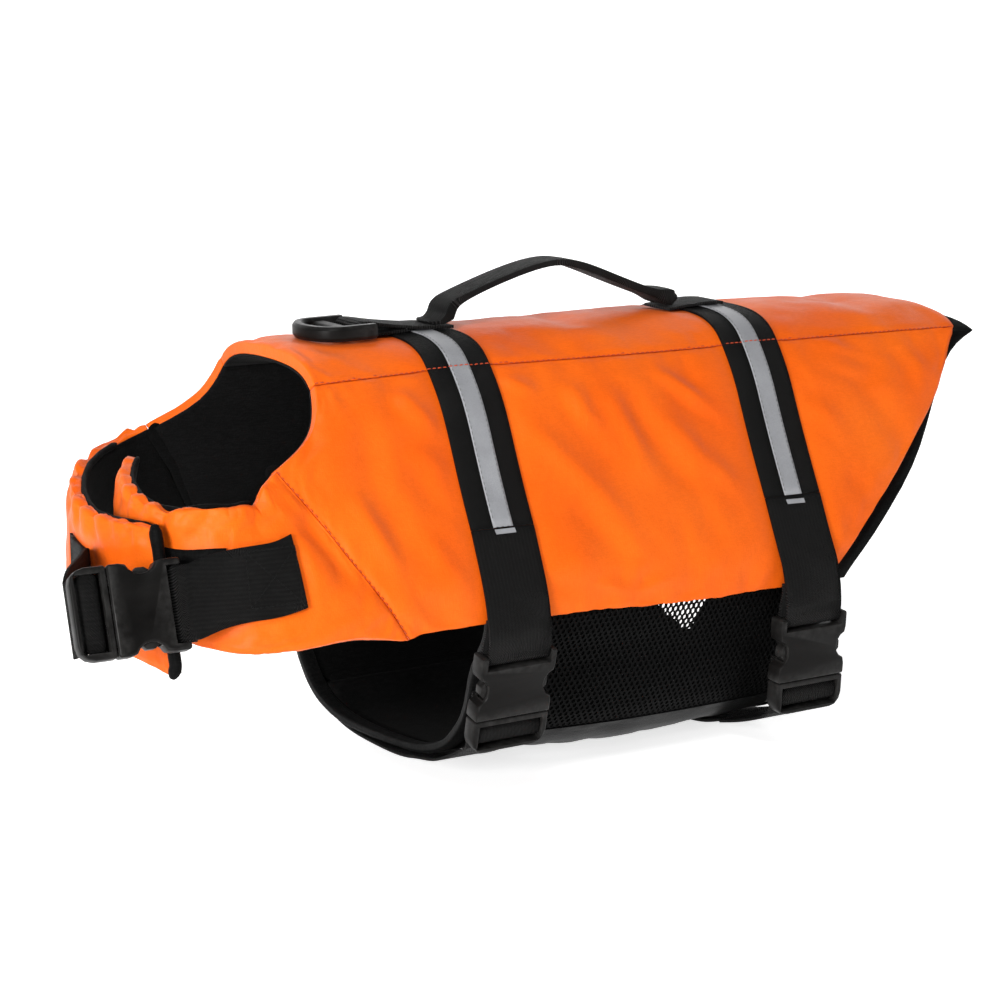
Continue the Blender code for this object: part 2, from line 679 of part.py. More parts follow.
# ---------------------------------------------------------------- straps on the body

def build_back_strip(name, outer, out, columns, black, silver):
    """Strip over the back between the two cross stitches, and the reflective tape on it."""
    first = len(SIDE_ROWS) - 1 - STITCH_ROW
    last = len(outer) - 1 - first
    skin = outer[first:last + 1, columns]
    lift = out[first:last + 1, columns]
    under = skin + lift * GAP
    over = skin + lift * (GAP + STRIP_THICK)
    sheet(name + "_back_strip", over, under, black)
    share = TAPE_WIDTH / BELT_WIDTH
    tape = np.stack([over[:, 1] + (over[:, k] - over[:, 1]) * share if k != 1 else over[:, 1]
                     for k in range(3)], axis=1)
    low = tape + lift * GAP
    high = tape + lift * (GAP + TAPE_THICK)
    sheet(name + "_reflective_tape", high, low, silver)


# ---------------------------------------------------------------- buckles and belts

class Frame:
    """A buckle's place: x across, y along it, z out."""

    def __init__(self, origin, along, out):
        self.origin = np.array(origin, float)
        along = unit(along)
        out = unit(np.array(out) - along * np.dot(along, out))
        self.axes = np.array([np.cross(along, out), along, out])

    def rows(self, line, width=BELT_WIDTH):
        """Rows across a line of (y, z) points, in the part's frame."""
        return [[self.origin + self.axes.T @ (side * width / 2, y, z) for side in (-1, 0, 1)]
                for y, z in line]

    def place(self, thing):
        matrix = Matrix.Identity(4)
        for row in range(3):
            for column in range(3):
                matrix[row][column] = self.axes[column][row]
            matrix[row][3] = self.origin[row] * MM
        thing.matrix_world = matrix


def mirrored(side):
    """A whole outline from its right half."""
    return [tuple(p) for p in side] + [(-x, y) for x, y in side[::-1]]


def build_socket(name, frame, material):
    half = BUCKLE_THICK / 2
    socket = prism(name, [mirrored(SOCKET_SIDE)], -half, half, 2, material)
    bevel(socket, 1.3, 2)
    slot = prism(name + "_slot", [box_outline((-1, -9), (7.3, 9))], -SLOT_WIDTH / 2, SLOT_WIDTH / 2, 0)
    cavity = prism(name + "_cavity", [box_outline((13, -3.3), (SOCKET_LENGTH + 1, 3.3))], -19, 19, 0)
    bar = prism(name + "_bar", [turn((SOCKET_BAR, 0), BAR_RADIUS, 0, 330, 11)], -20.5, 20.5, 0)
    combine(socket, slot, "DIFFERENCE")
    combine(socket, cavity, "DIFFERENCE")
    combine(socket, bar, "UNION")
    frame.place(socket)


def build_prong(name, frame, material):
    start = SOCKET_LENGTH + GAP
    end = start + BASE_LENGTH
    wide = BUCKLE_WIDTH / 2
    side = [(wide, start), (wide, end - 8), (wide - 1.2, end - 4), (wide - 4, end - 1), (wide - 8, end)]
    base = prism(name, [mirrored(side)], -BASE_THICK / 2, BASE_THICK / 2, 2, material)
    bevel(base, 1.3, 2)
    window = prism(name + "_window", [box_outline((start + 3.0, -9), (end - 2.3, 9))],
                   -SLOT_WIDTH / 2, SLOT_WIDTH / 2, 0)
    bar = prism(name + "_bar", [flat_bar(PRONG_BAR, BAR_RADIUS)], -20.5, 20.5, 0)
    arm = [tuple(p) for p in PRONG_ARM]
    tongue = [(3.2, 18), (3.2, 38.3), (-3.2, 38.3), (-3.2, 18)]
    arms = prism(name + "_arms", [arm, [(-x, y) for x, y in arm], tongue], -2.7, 2.7, 2)
    combine(base, window, "DIFFERENCE")
    combine(base, bar, "UNION")
    combine(base, arms, "UNION")
    frame.place(base)


def socket_turn(frame):
    """Webbing from the front of the socket's bar, round it and up behind."""
    line = list(SOCKET_LEAD) + turn((SOCKET_BAR, 0), 3.25, 90, -90, 6) + list(SOCKET_TAIL)
    return frame.rows(line)


def prong_turn(frame, lead):
    """Webbing from behind the prong half, over its bar and back behind the socket."""
    line = list(lead) + turn((PRONG_BAR[0], 0), 3.25, 0, 90, 3) + turn((PRONG_BAR[1], 0), 3.25, 90, 210, 4)
    line += list(PRONG_TAIL)
    return frame.rows(line)


def side_rows(points, columns_x):
    return [[(x, y, z) for x in columns_x] for y, z in points]


def belly_rows(columns_x):
    """Rows of points outside the belly, from the right side round to the left."""
    rows = []
    for kind, value in ([("height", z) for z in (-148, -162, -178, -190)]
                        + [("share", s) for s in np.linspace(1.0, 0.22, 11)]):
        row = []
        for x in columns_x:
            here = belly_point(x, "right", (kind, value))
            above = belly_point(x, "right", (kind, value + (0.5 if kind == "height" else 0.01)))
            step = unit(above - here)
            row.append(here + np.array((0, -step[2], step[1])) * -BELLY_LIFT)
        rows.append(row)
    return rows


def build_belt(name, outer, out, columns, columns_x, frame, left, tail, back, lead, webbing):
    """Left webbing of a belly belt, and the webbing that comes from the right side under the belly."""
    lift = GAP + WEBBING_THICK / 2
    first = len(SIDE_ROWS) - 1 - STITCH_ROW
    skin = outer[:, columns] + out[:, columns] * lift
    left_rows = [skin[first], skin[first - 1]] + side_rows(left, columns_x)
    around = socket_turn(frame)
    reverse = np.dot(around[0][2] - around[0][0], (1, 0, 0)) < 0
    around = [row[::-1] if reverse else row for row in around]
    rows = np.array(left_rows + around + side_rows(tail, columns_x))
    strap(name + "_left_webbing", draw_in(rows, 0, GAP), WEBBING_THICK, webbing)
    last = len(outer) - 1 - first
    right_rows = [skin[last], skin[last + 1]] + side_rows(RIGHT_DROP, columns_x)
    around = [row[::-1] if reverse else row for row in prong_turn(frame, lead)]
    rows = right_rows + belly_rows(columns_x) + side_rows(back, columns_x) + around
    strap(name + "_under_belly_webbing", draw_in(np.array(rows), 0, GAP), WEBBING_THICK, webbing)


def free_rows(table):
    rows = []
    for x, y, z, *across in table:
        centre = np.array((x, y, z), float)
        rows.append([centre - across, centre, centre + across])
    return rows


def flap_rows(flap, columns, lift, slant=0):
    """Rows of three points above a flap's outer face; a slant moves each lower row on by columns."""
    outer, out = flap
    return [[outer[row, column + k * slant] + out[row, column + k * slant] * lift
             for k, row in enumerate(CHEST_ROWS)] for column in range(columns[0], columns[1] + 1)]


def even_width(rows):
    """The rows drawn in or let out to the belt's width, about their middles."""
    rows = np.array(rows)
    middle = (rows[:, :1] + rows[:, 2:]) / 2
    spread = np.linalg.norm(rows[:, 2] - rows[:, 0], axis=1)[:, None, None]
    return list(middle + (rows - middle) * BELT_WIDTH / spread)


def build_chest(left, right, frame, webbing, black):
    lift = GAP + WEBBING_THICK / 2
    rows = even_width(flap_rows(left, CHEST_LEFT_COLUMNS, lift + 0.6, 1))
    rows += free_rows(CHEST_LEFT_FREE) + [row[::-1] for row in socket_turn(frame)]
    strap("chest_webbing_left", rows, WEBBING_THICK, webbing)
    lead = ((54.6, -13), (53.2, -8.5), (52.2, -4))
    rows = flap_rows(right, CHEST_RIGHT_COLUMNS, lift)
    rows += free_rows(CHEST_RIGHT_FREE) + [row[::-1] for row in prong_turn(frame, lead)]
    strap("chest_webbing_right", rows, WEBBING_THICK, webbing)
    strap("hook_and_loop_patch", flap_rows(left, PATCH_COLUMNS, GAP + 0.6), 1.2, black)


# ---------------------------------------------------------------- spine webbing, handle, leash ring

def build_spine(webbing):
    around = turn((PIN[0], PIN[2]), PIN_RADIUS + GAP + WEBBING_HEAVY / 2, 90, 270, 6)
    line = list(SPINE_LINE) + around + list(SPINE_TAIL)
    strap("spine_webbing", level_rows(line, SPINE_WIDTH), WEBBING_HEAVY, webbing)
    strap("rear_spine_webbing", level_rows(REAR_SPINE_LINE, SPINE_WIDTH), WEBBING_HEAVY, webbing)
    strap("handle", level_rows(HANDLE_LINE[:, :2], HANDLE_WIDTH), HANDLE_LINE[:, 2, None, None], webbing)


def ring_path():
    """Middle line of the ring from the end of one arm round to the other, in the ring's frame."""
    front = RING_LENGTH - RING_ARM
    line = [(3.0, -RING_HALF_WIDTH), (-RING_ARM / 2, -RING_HALF_WIDTH)]
    for angle in np.radians(np.linspace(0, 180, 13)):
        line.append((-RING_ARM - front * math.sin(angle), -RING_HALF_WIDTH * math.cos(angle)))
    return line + [(-RING_ARM / 2, RING_HALF_WIDTH), (3.0, RING_HALF_WIDTH)]


def build_ring(material):
    path = np.array([(x, y, 0) for x, y in ring_path()])
    ahead = unit(np.gradient(path, axis=0))
    side = np.cross(ahead, (0, 0, 1))
    half, deep = RING_BODY / 2, RING_DEPTH / 2
    section = [(0.55, 1), (1, 0.55), (1, -0.55), (0.55, -1), (-0.55, -1), (-1, -0.55), (-1, 0.55),
               (-0.55, 1)]
    rows = [[p + s * u * half + np.array((0, 0, v * deep)) for u, v in section] for p, s in zip(path, side)]
    count = len(section)
    faces = [tuple(range(count)), tuple(range((len(rows) - 1) * count, len(rows) * count))]
    for r in range(len(rows) - 1):
        for k in range(count):
            a, b = r * count + k, r * count + (k + 1) % count
            faces.append((a, b, b + count, a + count))
    points = np.array(rows).reshape(-1, 3)
    ring = add_object("leash_ring", mesh_from("leash_ring", points, faces), material)
    pin = rod("leash_ring_pin", turn((0, 0), PIN_RADIUS, 0, 345, 23))
    bar = rod("leash_ring_bar", flat_bar((-RING_BAR[1], -RING_BAR[0]), RING_BAR_RADIUS))
    combine(ring, pin, "UNION")
    combine(ring, bar, "UNION")
    ring.location = PIN * MM
    ring.rotation_euler = (0, -math.radians(RING_TILT), 0)


def rod(name, outline):
    """Bar between the ring's arms."""
    points = [(u, y, v) for y in (-RING_HALF_WIDTH, RING_HALF_WIDTH) for u, v in outline]
    count = len(outline)
    faces = [tuple(range(count)), tuple(range(count, 2 * count))]
    faces += [(k, (k + 1) % count, (k + 1) % count + count, k + count) for k in range(count)]
    return add_object(name, mesh_from(name, np.array(points, float), faces), None)


def build():
    clear_scene()
    orange = finish_material("orange oxford cloth", ORANGE, 0.5)
    black_cloth = finish_material("black nylon", BLACK, 0.8)
    webbing = finish_material("black webbing", BLACK, 0.75)
    silver = finish_material("reflective tape", SILVER, 0.4)
    plastic = finish_material("charcoal plastic", CHARCOAL, 0.45)

    outer, out = build_body(orange, black_cloth)
    rows = len(SIDE_ROWS)
    left = build_flap(Flap(LEFT, LEFT_FLAP), "neck_flap_left", out[:rows][::-1, 0], orange, black_cloth)
    right = build_flap(Flap(RIGHT, RIGHT_FLAP), "neck_flap_right", out[-rows:, 0], orange, black_cloth)
    build_belly(black_cloth)
    front = slice(FRONT_BELT_COLUMN, FRONT_BELT_COLUMN + 3)
    rear = slice(REAR_BELT_COLUMN, REAR_BELT_COLUMN + 3)
    build_back_strip("front", outer, out, front, webbing, silver)
    build_back_strip("rear", outer, out, rear, webbing, silver)

    buckles = {"chest": Frame(*CHEST_BUCKLE), "front": Frame(*FRONT_BUCKLE), "rear": Frame(*REAR_BUCKLE)}
    for name, frame in buckles.items():
        build_socket(name + "_buckle_socket", frame, plastic)
        build_prong(name + "_buckle_prong", frame, plastic)
    lead = ((58.5, -7.0), (56.0, -6.9), (53.4, -5.9), (52.2, -3.5), (51.8, -1.5))
    build_belt("front", outer, out, front, FRONT_BELT, buckles["front"], FRONT_DROP, FRONT_TAIL,
               FRONT_RETURN, lead, webbing)
    build_belt("rear", outer, out, rear, REAR_BELT, buckles["rear"], REAR_DROP, REAR_TAIL,
               REAR_RETURN, lead, webbing)
    build_chest(left, right, buckles["chest"], webbing, black_cloth)
    build_spine(webbing)
    build_ring(plastic)


build()
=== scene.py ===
# %% [markdown]
# # A dog life jacket, dressed piece by piece
# The jacket already exists as plain solids: padded panels, linings, belts, buckles. They fix where
# everything is. This lesson gives each of them its cloth, its stitches and its plastic. We load the
# solids first, and keep the size of the whole thing.

# %% Load the solids
import heapq
import math
import random

import bmesh
import bpy
import numpy as np
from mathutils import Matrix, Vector, noise
from mathutils.bvhtree import BVHTree


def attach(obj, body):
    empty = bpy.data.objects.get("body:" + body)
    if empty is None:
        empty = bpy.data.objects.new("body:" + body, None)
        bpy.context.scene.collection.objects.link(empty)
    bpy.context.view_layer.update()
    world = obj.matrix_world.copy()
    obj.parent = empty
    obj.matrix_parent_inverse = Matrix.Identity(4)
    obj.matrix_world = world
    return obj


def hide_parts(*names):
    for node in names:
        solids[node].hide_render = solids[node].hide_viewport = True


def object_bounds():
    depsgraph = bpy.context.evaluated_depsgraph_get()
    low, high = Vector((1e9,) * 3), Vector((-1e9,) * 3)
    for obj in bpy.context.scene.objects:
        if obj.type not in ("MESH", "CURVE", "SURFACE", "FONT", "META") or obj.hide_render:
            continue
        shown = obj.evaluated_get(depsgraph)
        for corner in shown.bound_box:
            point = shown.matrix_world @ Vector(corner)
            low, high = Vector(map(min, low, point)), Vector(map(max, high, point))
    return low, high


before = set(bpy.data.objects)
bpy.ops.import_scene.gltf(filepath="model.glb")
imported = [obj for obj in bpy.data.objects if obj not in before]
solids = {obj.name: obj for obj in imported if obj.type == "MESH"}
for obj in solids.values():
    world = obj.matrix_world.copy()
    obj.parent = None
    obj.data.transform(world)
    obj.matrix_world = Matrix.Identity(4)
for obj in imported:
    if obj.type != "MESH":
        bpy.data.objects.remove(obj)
jacket_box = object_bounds()
chance = random.Random(38)
print("solids:", len(solids), "box in mm:", [[round(v * 1000, 1) for v in c] for c in jacket_box])

# %% [markdown]
# ## A skin to work on
# A solid arrives as triangles whose corners are split at every sharp edge. Cloth wants even
# four-sided faces that share their corners. So each copy is sewn together at its corners, its
# triangles are joined in pairs, and its sharp edges are marked, so that smoothing keeps them.


# %% Copy a solid's skin
def joined_skin(node):
    """The solid's triangles, with corners that lie at one place made into one."""
    skin = bmesh.new()
    skin.from_mesh(solids[node].data)
    bmesh.ops.remove_doubles(skin, verts=skin.verts, dist=2e-5)
    return skin


def skin_of(node, sharp=38):
    """The same in four-sided faces, with every edge sharper than so many degrees marked."""
    skin = joined_skin(node)
    bmesh.ops.join_triangles(skin, faces=skin.faces, angle_face_threshold=0.9,
                             angle_shape_threshold=1.4)
    edge_mark = skin.edges.layers.float.new("crease_edge")
    for edge in skin.edges:
        if edge.calc_face_angle(0.0) > math.radians(sharp):
            edge[edge_mark] = 1.0
    return skin


def new_piece(name, skin, finish, body="jacket"):
    mesh = bpy.data.meshes.new(name)
    skin.to_mesh(mesh)
    skin.free()
    piece = bpy.data.objects.new(name, mesh)
    bpy.context.scene.collection.objects.link(piece)
    mesh.materials.append(finish)
    mesh.shade_smooth()
    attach(piece, body)
    return piece


def bake_modifiers(piece):
    """Turn what the modifiers show into the piece's own mesh."""
    graph = bpy.context.evaluated_depsgraph_get()
    made = bpy.data.meshes.new_from_object(piece.evaluated_get(graph), depsgraph=graph)
    made.name = piece.name
    piece.modifiers.clear()
    piece.data = made


def subdivide(piece, levels):
    smooth = piece.modifiers.new("smooth", "SUBSURF")
    smooth.levels = smooth.render_levels = levels
    bake_modifiers(piece)


def keep_sharp(piece, degrees=48):
    piece.data.shade_smooth()
    piece.data.set_sharp_from_angle(angle=math.radians(degrees))


# %% [markdown]
# ## Numbers instead of a sculpting brush
# A crease is only a row of points that moved a little along the surface's own direction. With all
# the points of a mesh in one table we can move thousands at once. Lengths in these tables are in
# millimetres, because that is how a crease is measured with a ruler.


# %% Points in, points out
def read_points(piece):
    table = np.empty(len(piece.data.vertices) * 3)
    piece.data.vertices.foreach_get("co", table)
    return table.reshape(-1, 3) * 1000


def read_directions(piece):
    table = np.empty(len(piece.data.vertices) * 3)
    piece.data.vertices.foreach_get("normal", table)
    return table.reshape(-1, 3)


def write_points(piece, points):
    piece.data.vertices.foreach_set("co", (points / 1000).ravel())
    piece.data.update()


def ease(t):
    t = np.clip(t, 0, 1)
    return t * t * (3 - 2 * t)


def measure_from(line, points):
    """Every point's distance from a drawn line and place along it, and the line's length."""
    line = np.array(line, float)
    best, place, run = np.full(len(points), 1e9), np.zeros(len(points)), 0.0
    for a, b in zip(line[:-1], line[1:]):
        step = b - a
        length = np.linalg.norm(step)
        t = np.clip((points - a) @ step / length**2, 0, 1)
        away = np.linalg.norm(points - (a + t[:, None] * step), axis=1)
        closer = away < best
        best[closer] = away[closer]
        place[closer] = run + t[closer] * length
        run += length
    return best, place, run


HOLLOW_MIDDLE = -90.0      # height of the middle of the jacket's hollow, in mm


def outwards(points, directions):
    """1 where the surface looks away from the middle of the jacket, 0 where it looks inwards."""
    middle = np.stack([np.clip(points[:, 0], -195, 235), np.zeros(len(points)),
                       np.full(len(points), HOLLOW_MIDDLE)], axis=1)
    away = points - middle
    away /= np.linalg.norm(away, axis=1, keepdims=True) + 1e-9
    return ease((directions * away).sum(axis=1) / 0.4)


START_FADE, END_FADE = 0.3, 0.45      # the shares of its length over which a crease dies out


def press_fold(points, lift, line, width, height):
    """Adds a ridge (height above 0) or a valley (below 0) along a drawn line."""
    away, place, run = measure_from(line, points)
    ends = ease(place / (START_FADE * run)) * ease((run - place) / (END_FADE * run))
    lift += height * np.exp(-(away / width) ** 2) * ends


def uneven(points, size, seed):
    """A smooth random value from -1 to 1 for every point; size is the width of its patches."""
    shift = Vector((seed * 7.3, seed * 3.1, seed * 5.7))
    return np.array([noise.noise(Vector(p) / size + shift) for p in points])


# %% [markdown]
# ## Orange cloth
# The cover is a coated oxford cloth: plain weave, a satin film on the back, so it shines softly
# and catches light on every crease. An even orange would look like plastic. Here the colour drifts
# by a few hundredths over hand-sized patches, short threads show in both directions, and the film
# makes the gloss uneven.


# %% Small helpers for node finishes
def new_finish(name, roughness=0.5, **shader_values):
    finish = bpy.data.materials.new(name)
    finish.use_nodes = True
    nodes = finish.node_tree.nodes
    shader = next(n for n in nodes if n.type == "BSDF_PRINCIPLED")
    shader.inputs["Roughness"].default_value = roughness
    for socket, value in shader_values.items():
        shader.inputs[socket.replace("_", " ")].default_value = value
    return finish, finish.node_tree, shader


def add(tree, kind, **values):
    node = tree.nodes.new(kind)
    for key, value in values.items():
        if hasattr(node, key):
            setattr(node, key, value)
        else:
            node.inputs[key.replace("_", " ")].default_value = value
    return node


def stretched(tree, source, scale, turn=(0, 0, 0)):
    mapping = add(tree, "ShaderNodeMapping", Scale=scale, Rotation=turn)
    tree.links.new(source, mapping.inputs["Vector"])
    return mapping.outputs["Vector"]


def noise_at(tree, vector, scale, detail=3.0, roughness=0.55):
    texture = add(tree, "ShaderNodeTexNoise", Scale=scale, Detail=detail, Roughness=roughness)
    tree.links.new(vector, texture.inputs["Vector"])
    return texture.outputs["Fac"]


def stretched_noise(tree, source, scale, detail, roughness=0.55, turn=(0, 0, 0)):
    return noise_at(tree, stretched(tree, source, scale, turn), 1.0, detail, roughness)


def woven_threads(tree, space, weft, warp):
    """Short streaks in two directions, as threads show them."""
    return calc(tree, "ADD", stretched_noise(tree, space, weft, 2),
                stretched_noise(tree, space, warp, 2))


def ramp(tree, source, stops):
    node = add(tree, "ShaderNodeValToRGB")
    elements = node.color_ramp.elements
    while len(elements) < len(stops):
        elements.new(0.5)
    for element, (place, colour) in zip(elements, stops):
        element.position = place
        element.color = (*colour, 1)
    tree.links.new(source, node.inputs["Fac"])
    return node.outputs["Color"]


def remap(tree, source, low, high, to_low, to_high):
    node = add(tree, "ShaderNodeMapRange")
    for key, value in zip(("From Min", "From Max", "To Min", "To Max"),
                          (low, high, to_low, to_high)):
        node.inputs[key].default_value = value
    tree.links.new(source, node.inputs["Value"])
    return node.outputs["Result"]


def calc(tree, operation, a, b):
    node = add(tree, "ShaderNodeMath", operation=operation)
    for socket, value in zip(node.inputs, (a, b)):
        if isinstance(value, (int, float)):
            socket.default_value = value
        else:
            tree.links.new(value, socket)
    return node.outputs["Value"]


def blend_colours(tree, mode, share, a, b):
    node = add(tree, "ShaderNodeMix", data_type="RGBA", blend_type=mode)
    for socket, value in ((node.inputs[0], share), (node.inputs[6], a), (node.inputs[7], b)):
        if isinstance(value, (int, float)):
            socket.default_value = value
        elif isinstance(value, tuple):
            socket.default_value = (*value, 1)
        else:
            tree.links.new(value, socket)
    return node.outputs[2]


def relief(tree, shader, heights):
    """Chains bump nodes: each entry is (height, strength, depth in metres)."""
    before = None
    for height, strength, depth in heights:
        bump = add(tree, "ShaderNodeBump", Strength=strength, Distance=depth)
        tree.links.new(height, bump.inputs["Height"])
        if before is not None:
            tree.links.new(before, bump.inputs["Normal"])
        before = bump.outputs["Normal"]
    tree.links.new(before, shader.inputs["Normal"])


def place_in_space(tree):
    return add(tree, "ShaderNodeTexCoord").outputs["Object"]


# %% The orange finish
def orange_oxford():
    finish, tree, shader = new_finish("orange_oxford_cloth", Sheen_Weight=0.02,
                                      Sheen_Roughness=0.4, Specular_IOR_Level=0.13)
    space = place_in_space(tree)
    patches = noise_at(tree, space, 14, 2)
    threads = woven_threads(tree, space, (260, 260, 2100), (2000, 2000, 230))
    base = ramp(tree, patches, [(0.3, (0.80, 0.108, 0.004)), (0.7, (0.88, 0.146, 0.0066))])
    flecks = ramp(tree, remap(tree, threads, 0.7, 1.3, 0, 1),
                  [(0.2, (0.93, 0.88, 0.84)), (0.8, (1, 1, 1))])
    tree.links.new(blend_colours(tree, "MULTIPLY", 1.0, base, flecks),
                   shader.inputs["Base Color"])
    film = noise_at(tree, space, 55, 4)
    tree.links.new(remap(tree, film, 0.3, 0.7, 0.40, 0.52), shader.inputs["Roughness"])
    small_waves = stretched_noise(tree, space, (60, 60, 38), 3)
    crumple = stretched_noise(tree, space, (150, 150, 95), 4, 0.6, (0, 0.5, 0))
    relief(tree, shader, [(small_waves, 0.35, 0.0012), (crumple, 0.3, 0.0007),
                          (threads, 0.35, 0.00025)])
    return finish


ORANGE = orange_oxford()
print("finish:", ORANGE.name)

# %% [markdown]
# ## Black cloth
# The lining is a thin matt nylon. Black is never a single value: its threads lift it towards grey
# where light grazes them, and it carries fine dust. A small sheen does the grazing light.


# %% The lining's finish
def black_nylon(name, grey, roughness, thread=1500.0, sheen=0.02, gloss=0.06):
    finish, tree, shader = new_finish(name, Sheen_Weight=sheen, Sheen_Roughness=0.5,
                                      Specular_IOR_Level=gloss)
    space = place_in_space(tree)
    threads = woven_threads(tree, space, (220, 220, thread), (thread, thread, 200))
    patches = noise_at(tree, space, 30, 3)
    base = ramp(tree, patches, [(0.3, (grey * 0.8,) * 3), (0.7, (grey * 1.3,) * 3)])
    flecks = ramp(tree, remap(tree, threads, 0.7, 1.35, 0, 1),
                  [(0.2, (0.55,) * 3), (0.9, (1.6,) * 3)])
    tree.links.new(blend_colours(tree, "MULTIPLY", 1.0, base, flecks),
                   shader.inputs["Base Color"])
    tree.links.new(remap(tree, patches, 0.3, 0.7, roughness - 0.06, roughness + 0.08),
                   shader.inputs["Roughness"])
    waves = noise_at(tree, space, 45, 3)
    relief(tree, shader, [(waves, 0.3, 0.0012), (threads, 0.5, 0.0003)])
    return finish


LINING = black_nylon("black_lining_nylon", 0.0030, 0.62, sheen=0.012, gloss=0.045)
BELLY_CLOTH = black_nylon("black_belly_cloth", 0.0040, 0.46, thread=1100.0, sheen=0.015, gloss=0.07)
NET_YARN = black_nylon("black_net_yarn", 0.0028, 0.55, thread=1900.0, sheen=0.006, gloss=0.03)
print("finishes:", LINING.name, BELLY_CLOTH.name, NET_YARN.name)

# %% [markdown]
# ## Webbing
# Webbing is woven narrow: ribs run across the strap, and the thick edge threads run along it. The
# ribs must follow the strap round every bend, so the finish reads a map that is laid along the
# strap: the first number is the distance from one end, the second the distance from its middle.


# %% The webbing's finish
def ribbed_webbing(name, rib, grey):
    finish, tree, shader = new_finish(name, Sheen_Weight=0.012, Sheen_Roughness=0.5,
                                      Specular_IOR_Level=0.09)
    run = add(tree, "ShaderNodeUVMap", uv_map="run").outputs["UV"]
    parts = add(tree, "ShaderNodeSeparateXYZ")
    tree.links.new(run, parts.inputs["Vector"])
    wobble = calc(tree, "MULTIPLY", noise_at(tree, run, 160, 2), 0.0006)
    along = calc(tree, "ADD", parts.outputs["X"], wobble)
    ribs = calc(tree, "SINE", calc(tree, "MULTIPLY", along, 2 * math.pi / rib), 0.0)
    rows = calc(tree, "SINE",
                calc(tree, "MULTIPLY", parts.outputs["Y"], 2 * math.pi / (rib * 1.45)), 0.0)
    woven = calc(tree, "ADD", ribs, calc(tree, "MULTIPLY", rows, 0.35))
    wear = stretched_noise(tree, run, (90, 420, 1), 3)
    # the rib wave also sets the colour: painted rib shade in the grooves and a painted highlight on
    # the crests, on top of the same ribs as bump
    base = ramp(tree, remap(tree, woven, -1.2, 1.2, 0, 1),
                [(0.25, (grey * 0.12,) * 3), (0.75, (grey * 2.3, grey * 2.2, grey * 2.15))])
    worn = ramp(tree, wear, [(0.35, (0.8,) * 3), (0.75, (1.5,) * 3)])
    tree.links.new(blend_colours(tree, "MULTIPLY", 1.0, base, worn), shader.inputs["Base Color"])
    tree.links.new(remap(tree, wear, 0.3, 0.7, 0.5, 0.68), shader.inputs["Roughness"])
    relief(tree, shader, [(woven, 1.0, 0.0007)])
    return finish


WEBBING = ribbed_webbing("black_ribbed_webbing", 0.0015, 0.0074)
STRIP_CLOTH = ribbed_webbing("black_strip_weave", 0.0008, 0.0070)
print("finishes:", WEBBING.name, STRIP_CLOTH.name)

# %% [markdown]
# ## Reflective tape, thread and moulded plastic
# The tape is a grey film full of tiny glass beads: even, with a fine grain and a soft shine. The
# thread is glossy polyester. The buckles and the ring are moulded nylon, satin with a fine spark
# grain; handling polishes their edges, so the finish turns smoother where a mesh attribute says
# that an edge is near, and there its colour is painted lighter in patches: a painted highlight.


# %% Tape, thread, plastic
def grey_tape():
    finish, tree, shader = new_finish("grey_reflective_tape", Coat_Weight=0.15,
                                      Coat_Roughness=0.35)
    space = place_in_space(tree)
    beads = noise_at(tree, space, 2600, 1)
    drift = noise_at(tree, space, 60, 3)
    base = ramp(tree, drift, [(0.3, (0.232, 0.236, 0.25)), (0.7, (0.285, 0.29, 0.305))])
    grain = ramp(tree, beads, [(0.3, (0.88,) * 3), (0.7, (1.1,) * 3)])
    tree.links.new(blend_colours(tree, "MULTIPLY", 1.0, base, grain), shader.inputs["Base Color"])
    tree.links.new(remap(tree, drift, 0.3, 0.7, 0.38, 0.5), shader.inputs["Roughness"])
    relief(tree, shader, [(drift, 0.25, 0.0006), (beads, 0.3, 0.0001)])
    return finish


def thread_finish(name, colour, sheen=0.1, gloss=0.25):
    finish, tree, shader = new_finish(name, Sheen_Weight=sheen, Specular_IOR_Level=gloss)
    space = place_in_space(tree)
    twist = noise_at(tree, space, 1800, 2)
    dark = tuple(c * 0.7 for c in colour)
    tree.links.new(ramp(tree, twist, [(0.3, dark), (0.7, colour)]), shader.inputs["Base Color"])
    tree.links.new(remap(tree, twist, 0.3, 0.7, 0.4, 0.6), shader.inputs["Roughness"])
    relief(tree, shader, [(twist, 0.5, 0.0001)])
    return finish


def moulded_nylon():
    finish, tree, shader = new_finish("charcoal_moulded_nylon", Specular_IOR_Level=0.085)
    space = place_in_space(tree)
    grain = noise_at(tree, space, 1500, 2)
    flow = stretched_noise(tree, space, (40, 40, 90), 4)
    # near the rounded edges the roughness drops for polish, and the colour is painted lighter in
    # patches: a painted edge highlight
    wear = add(tree, "ShaderNodeAttribute", attribute_name="edge_wear").outputs["Fac"]
    polish_and_highlight = calc(tree, "MULTIPLY", wear, remap(tree, noise_at(tree, space, 240, 3),
                                                 0.35, 0.7, 0.2, 1.0))
    base = ramp(tree, flow, [(0.3, (0.0040, 0.0038, 0.0036)), (0.7, (0.0066, 0.0062, 0.0059))])
    # the mix towards light grey along the edges is the painted edge highlight
    tree.links.new(blend_colours(tree, "MIX", calc(tree, "MULTIPLY", polish_and_highlight, 0.6), base,
                                 (0.036, 0.035, 0.034)), shader.inputs["Base Color"])
    rough = remap(tree, flow, 0.3, 0.7, 0.34, 0.46)
    tree.links.new(calc(tree, "SUBTRACT", rough, calc(tree, "MULTIPLY", polish_and_highlight, 0.12)),
                   shader.inputs["Roughness"])
    relief(tree, shader, [(grain, 0.22, 0.00012)])
    return finish


